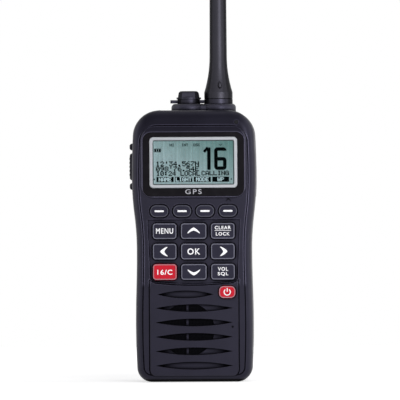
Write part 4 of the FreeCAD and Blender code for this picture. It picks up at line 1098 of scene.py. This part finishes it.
@dataclass
class DotFont:
    """Five by seven dot characters, each with its five columns of bits, lowest bit at the top."""

    bold: float = 0.42
    glyphs: str = (
        "0 3E5149453E 1 00427F4000 2 4261514946 3 2141454B31 4 1814127F10 5 2745454539 "
        "6 3C4A494930 7 0171090503 8 3649494936 9 064949291E . 0060600000 : 0036360000 "
        "' 0000070000 A 7E1111117E C 3E41414122 D 7F4141221C E 7F49494941 G 3E4149497A "
        "H 7F0808087F I 00417F4100 L 7F40404040 M 7F020C027F N 7F0408107F O 3E4141413E "
        "P 7F09090906 S 4649494931 T 01017F0101 W 3F4038403F "
    )

    def __post_init__(self) -> None:
        """Sorts the characters' codes by character."""
        entries = self.glyphs.split()
        self.codes = dict(zip(entries[::2], entries[1::2]))

    def lit(self, words: str, column: int, row: int) -> bool:
        """Whether a dot of a line of characters is on.

        Args:
            words: The line.
            column: The dot's column, six to a character.
            row: The dot's row, from the top.

        Returns:
            True when it is on.
        """
        letter, inner = divmod(column, 6)
        bits = self.codes.get(words[letter], "")[2 * inner : 2 * inner + 2]
        return bool(int(bits or "0", 16) >> row & 1)

    def line(self, words: str, width: float, height: float, thick: float) -> Piece:
        """A line of dots, flat about the origin.

        Args:
            words: The line.
            width: Its width in metres.
            height: Its height in metres.
            thick: Thickness of the dots.

        Returns:
            The line.
        """
        across = 6 * len(words) - 1

        def off(middle: Vector) -> bool:
            """Whether the dot at a point is dark."""
            column = int((middle.x / width + 0.5) * across)
            return not self.lit(words, column, int((0.5 - middle.y / height) * 7))

        piece = trimmed(sheet(width, height, across, 7), off)
        with editing(piece):
            thickened(thick)
            bpy.ops.transform.shrink_fatten(value=self.bold * height / 7)
        return piece


@dataclass
class DisplayFace:
    """What the display shows, and the label and mark beside it.

    The tables are in millimetres. Each row of them gives a middle's x and z, a width and a
    height; then a plate has its corner's radius, and a ring its band and its corner's radius.
    """

    ink: float = 0.00004
    plates: tuple[tuple[float, ...], ...] = (
        (7.775, 111.65, 1.75, 11.3, 0.49),
        (11.275, 111.75, 1.75, 8.3, 0.49),
        (-18.95, 115.9, 0.8, 1.2, 0.0),
        (-17.9, 115.9, 0.8, 1.2, 0.0),
        (-16.85, 115.9, 0.8, 1.2, 0.0),
        (-19.6, 101.4, 0.5, 0.8, 0.0),
        (18.9, 101.4, 0.5, 0.8, 0.0),
    )
    rings: tuple[tuple[float, ...], ...] = (
        (13.5, 109.2, 6.2, 6.4, 1.75, 1.7),
        (-17.9, 115.9, 3.6, 1.8, 0.25, 0.2),
    )
    hook: tuple[float, ...] = (13.5, 114.8, 6.2, 5.0, 1.75, 1.7)
    hook_open: Pair = (-1.3, 0.74)
    flag: tuple[float, ...] = (6.3, 116.1, 3.0, 1.4, 0.2)
    flag_lean: float = 48.0
    pointer: Pair = (13.6, 118.7)
    lines: tuple[tuple[str, float, float, float, float], ...] = (
        ("12'34.567N", -8.0, 109.15, 21.4, 2.3),
        ("098'76.54E", -8.0, 106.6, 21.4, 2.3),
        ("10:24 LOCAL", -7.6, 104.3, 21.8, 2.2),
        ("CALLING", 10.9, 104.45, 13.6, 2.2),
        ("HI", -10.7, 118.55, 2.2, 1.3),
        ("INT", -4.2, 118.55, 3.1, 1.3),
        ("DSC", 1.7, 118.55, 3.1, 1.3),
    )
    labels: tuple[str, ...] = ("NAME", "LIGHT", "MODE", "WP")
    label_edges: tuple[float, ...] = (-18.9, -9.55, -0.2, 9.05, 18.2)
    label_gap: float = 0.75
    label_level: float = 101.35
    # Inset and width of the dark ring of painted shade inside the frame.
    edge_shade_inset: float = 0.0014
    edge_shade_band: float = 0.0006
    position_label: Pair = (0.0, 95.2)
    key_mark: Triple = (0.0174, -0.0175, 0.091)
    font: DotFont = field(default_factory=DotFont)
    level: float = 0.0
    parts: list[Piece] = field(default_factory=list)

    def put(self, piece: Piece, x: float, z: float, lift: float = 0.0) -> None:
        """Moves a flat piece to its place on the cell and keeps it.

        Args:
            piece: The piece.
            x: Across, in millimetres.
            z: Up, in millimetres.
            lift: How far in front of the cell, in metres.
        """
        self.parts.append(fronted(piece, Vector((x * MM, self.level - lift, z * MM))))

    def gather(self, name: str, finish: Finish) -> None:
        """Makes one piece of all that was put down, with a name and a finish."""
        finished(name, merged(self.parts), "radio", finish)
        self.parts = []

    def ring(self, *sizes: float) -> Piece:
        """A ring, from its width, height, band and corner in millimetres."""
        width, height, band, corner = (size * MM for size in sizes)
        return outline_ring(width, height, band, self.ink, corner)

    def marks(self) -> None:
        """Adds the large number, with its leaning flag and open hook, and the small signs."""
        for x, z, *sizes in self.plates:
            width, height, corner = (size * MM for size in sizes)
            self.put(plate(width, height, self.ink, corner), x, z)
        for x, z, *sizes in self.rings:
            self.put(self.ring(*sizes), x, z)
        x, z, *sizes = self.hook
        left, top = (limit * MM for limit in self.hook_open)
        hook = trimmed(self.ring(*sizes), lambda middle: middle.x > left and middle.y < top)
        self.put(hook, x, z)
        x, z, *sizes = self.flag
        width, height, corner = (size * MM for size in sizes)
        self.put(turned(plate(width, height, self.ink, corner, 2), self.flag_lean), x, z)
        self.put(turned(chevron(0.0017, 0.0007, 0.0004, self.ink), 180.0), *self.pointer)

    def key_labels(self) -> None:
        """Adds the dark boxes over the four keys, and their words as a piece of its own."""
        boxes = list(zip(self.label_edges, self.label_edges[1:]))
        for left, right in boxes:
            box = plate((right - left - self.label_gap) * MM, 0.0026, self.ink)
            self.put(box, (left + right) / 2, self.label_level)
        self.gather("display_characters", SEGMENT)
        # The dark ring of painted shade inside the frame.
        self.edge_shade()
        for (left, right), word in zip(boxes, self.labels):
            line = self.font.line(word, 0.00155 * len(word), 0.0019, self.ink)
            self.put(line, (left + right) / 2, self.label_level, self.ink)
        # The words take the cell's finish, and so its painted glow.
        self.gather("display_key_labels", CRYSTAL)

    def edge_shade(self) -> None:
        """Adds a dark ring inside the silver frame: painted shade along the cell's edges."""
        frame = Box("display_bezel")
        width, height = (frame.size[axis] - 2 * self.edge_shade_inset for axis in (0, 2))
        ring = outline_ring(width, height, self.edge_shade_band, self.ink, self.edge_shade_band)
        fronted(ring, Vector((frame.middle.x, self.level, frame.middle.z)))
        finished("display_edge_shade_ring", ring, "radio", DISPLAY_EDGE_SHADE)

    def case_prints(self) -> None:
        """Adds the plain label under the display and the small mark over a key."""
        label = lettering("GPS", 0.0082, 0.0024, self.ink, 0.01, 1.3)
        x, z = self.position_label
        fronted(label, Vector((x * MM, Box("display_panel").low.y, z * MM)))
        finished("position_label", label, "radio", LABEL)
        mark = fronted(chevron(0.0026, 0.0012, 0.0007, self.ink), Vector(self.key_mark))
        finished("key_mark", mark, "radio", MARK_BLACK)

    def build(self) -> None:
        """Makes the characters, marks and labels."""
        self.level = Box("lcd_cell").low.y
        self.marks()
        for words, x, z, width, height in self.lines:
            self.put(self.font.line(words, width * MM, height * MM, self.ink), x, z)
        self.key_labels()
        self.case_prints()


@dataclass
class FrontKeys:
    """Outlines and legends of the fourteen front keys, found among the model's nodes."""

    nodes: dict[str, Piece]
    ink: float = 0.00005
    band: float = 0.00045
    inset: float = 0.00012
    flange: float = 0.00095
    corner: float = 0.0014
    bold: float = 0.035
    words: dict[str, tuple[tuple[str, float, float, float], ...]] = field(
        default_factory=lambda: {
            "menu_key": (("MENU", 8.6, 2.8, 0.1),),
            "clear_key": (("CLEAR", 8.0, 1.75, 1.65), ("LOCK", 6.9, 1.75, -1.45)),
            "ok_key": (("OK", 6.4, 3.2, 0.0),),
            "channel_key": (("16/C", 7.5, 2.6, -0.1),),
            "volume_key": (("VOL", 5.1, 1.85, 1.4), ("SQL", 5.3, 1.95, -1.1)),
        }
    )
    arrows: dict[str, tuple[float, float, float, float]] = field(
        default_factory=lambda: {
            "up_key": (0.0, 6.1, 2.0, 1.5),
            "left_key": (90.0, 4.6, 2.4, 2.05),
            "down_key": (180.0, 6.1, 2.0, 1.5),
            "right_key": (-90.0, 4.6, 2.4, 2.05),
        }
    )

    def outline(self, node: str, kind: KeyKind) -> None:
        """Adds the pale line round a key's face.

        Args:
            node: The key.
            kind: Its kind.
        """
        face = Box(node)
        margin = 2 * (self.flange + self.inset)
        width, height = face.size.x - margin, face.size.z - margin
        corner = self.corner
        if kind is KeyKind.SOFT:
            corner = height * 0.48
        elif node == "power_key":
            corner = (height + 2 * self.inset) * 0.36
        ring = fronted(outline_ring(width, height, self.band, self.ink, corner), face.front)
        finished(f"{node}_outline", ring, node, kind.value.line)

    def legend(self, node: str, kind: KeyKind) -> None:
        """Adds what is printed on a key.

        Args:
            node: The key.
            kind: Its kind.
        """
        parts = []
        if kind is KeyKind.SOFT:
            parts.append(plate(0.0046, 0.0009, self.ink, 0.0003))
        elif node in self.arrows:
            turn, width, rise, weight = self.arrows[node]
            arrow = chevron(width * MM, rise * MM, weight * MM, self.ink, 1.5)
            parts.append(turned(arrow, turn))
        elif node == "power_key":
            parts.append(power_sign(0.0018, 0.0005, self.ink))
        for words, width, height, rise in self.words.get(node, ()):
            line = lettering(words, width * MM, height * MM, self.ink, self.bold, 1.18)
            parts.append(shifted(line, 0.0, rise * MM))
        if node == "clear_key":
            parts.append(shifted(plate(0.0082, 0.0002, self.ink), 0.0, 0.0002))
        piece = fronted(merged(parts), Box(node).front)
        finished(f"{node}_legend", piece, node, LEGEND)

    def build(self) -> None:
        """Dresses every front key."""
        for node in self.nodes:
            kind = KeyKind.of(node)
            if kind and kind is not KeyKind.SIDE:
                self.outline(node, kind)
                self.legend(node, kind)


@dataclass
class TopFittings:
    """A copy of the rubber strap, cut across so that it can bend, and the index mark on the
    aerial.
    """

    nodes: dict[str, Piece]
    cuts: int = 9
    mark_size: Triple = (0.0017, 0.0014, 0.00304)
    mark_level: float = 0.1486
    mark_turn: float = 8.0
    mark_depth: float = 0.93

    def strap(self) -> None:
        """Makes the strap's bending copy, cut across evenly so that it can bend."""
        strap = Box("retaining_strap")
        held = Vector((strap.high.x - strap.size.y, *strap.middle.yz))
        free = Vector((Box("strap_loop").high.x, *strap.middle.yz))
        piece = copied(self.nodes["retaining_strap"])
        for step in range(self.cuts):
            spot = held.lerp(free, (step + 0.5) / self.cuts)
            with editing(piece):
                bpy.ops.mesh.bisect(plane_co=spot, plane_no=(free - held).normalized())
        finished("bending_strap", piece, "", STRAP_RUBBER)
        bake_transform(piece)
        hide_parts("retaining_strap")

    def index_mark(self) -> None:
        """Adds the small raised drop on the front of the aerial's foot."""
        aerial = Box("aerial")
        bpy.ops.mesh.primitive_uv_sphere_add(segments=20, ring_count=14, radius=0.5)
        piece = bpy.context.object
        for vert in piece.data.vertices:
            if vert.co.z > 0:
                vert.co.x *= 1 - 1.3 * vert.co.z
                vert.co.z *= 1.5
        turn = Matrix.Rotation(math.radians(self.mark_turn), 3, "Z")
        place = aerial.middle + turn @ Vector((0.0, -aerial.size.x / 2 * self.mark_depth, 0.0))
        place.z = self.mark_level
        moved(piece, Matrix.LocRotScale(place, turn, Vector(self.mark_size)))
        finished("aerial_index_mark", piece, "radio", AERIAL_RUBBER)

    def build(self) -> None:
        """Makes both."""
        self.strap()
        self.index_mark()


@dataclass
class PackFittings:
    """The battery pack's seal, and copies of its two springs, for the latch and the clip."""

    nodes: dict[str, Piece]
    seal_inset: float = 0.003
    seal_band: float = 0.0012
    seal_thick: float = 0.00029
    latch_keep: float = 0.045
    turn_from: float = -0.0014
    turn_to: float = 0.0026

    def seal(self) -> None:
        """Lays a thin rubber seal on the pack's front, where it meets the bay."""
        lid = Box("battery_lid")
        width, height = (lid.size[axis] - 2 * self.seal_inset for axis in (0, 2))
        ring = outline_ring(width, height, self.seal_band, self.seal_thick, self.seal_inset)
        finished("pack_seal", fronted(ring, lid.front), "battery", SOFT_RUBBER)

    def bow(self) -> None:
        """Makes a copy of the latch's spring, which moves with the battery, and hides the model's
        own.
        """
        box = Box("latch_spring")
        bow = finished("latch_bow_spring", copied(self.nodes[box.node]), "battery", STEEL)
        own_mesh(bow)
        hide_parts(box.node)

    def coil(self) -> None:
        """Makes a copy of the clip's spring, tied to no body alone, and hides the model's own."""
        box = Box("clip_spring")
        coil = finished("clip_coil_spring", copied(self.nodes[box.node]), "", STEEL)
        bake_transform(coil)
        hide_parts(box.node)

    def build(self) -> None:
        """Makes the seal and copies of both springs."""
        self.seal()
        self.bow()
        self.coil()


def record_sizes(name: str, low: Vector, high: Vector, sizes: dict[str, list[float]]) -> None:
    """Keeps a box as plain lists of numbers.

    Args:
        name: What the box is of.
        low: Its lowest corner.
        high: Its highest corner.
        sizes: Where it is kept.
    """
    sizes[f"{name}_low"] = list(low)
    sizes[f"{name}_high"] = list(high)


def main() -> None:
    """Builds the dressed radio and its studio."""
    logging.basicConfig(level=logging.INFO, format="%(message)s")
    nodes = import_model()["nodes"]
    sizes: dict[str, list[float]] = {}
    record_sizes("cad", *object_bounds(), sizes)
    Studio().build()
    Nodes(nodes).build()
    DisplayFace().build()
    FrontKeys(nodes).build()
    TopFittings(nodes).build()
    PackFittings(nodes).build()
    record_sizes("visual", *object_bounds(), sizes)


if __name__ == "__main__":
    main()
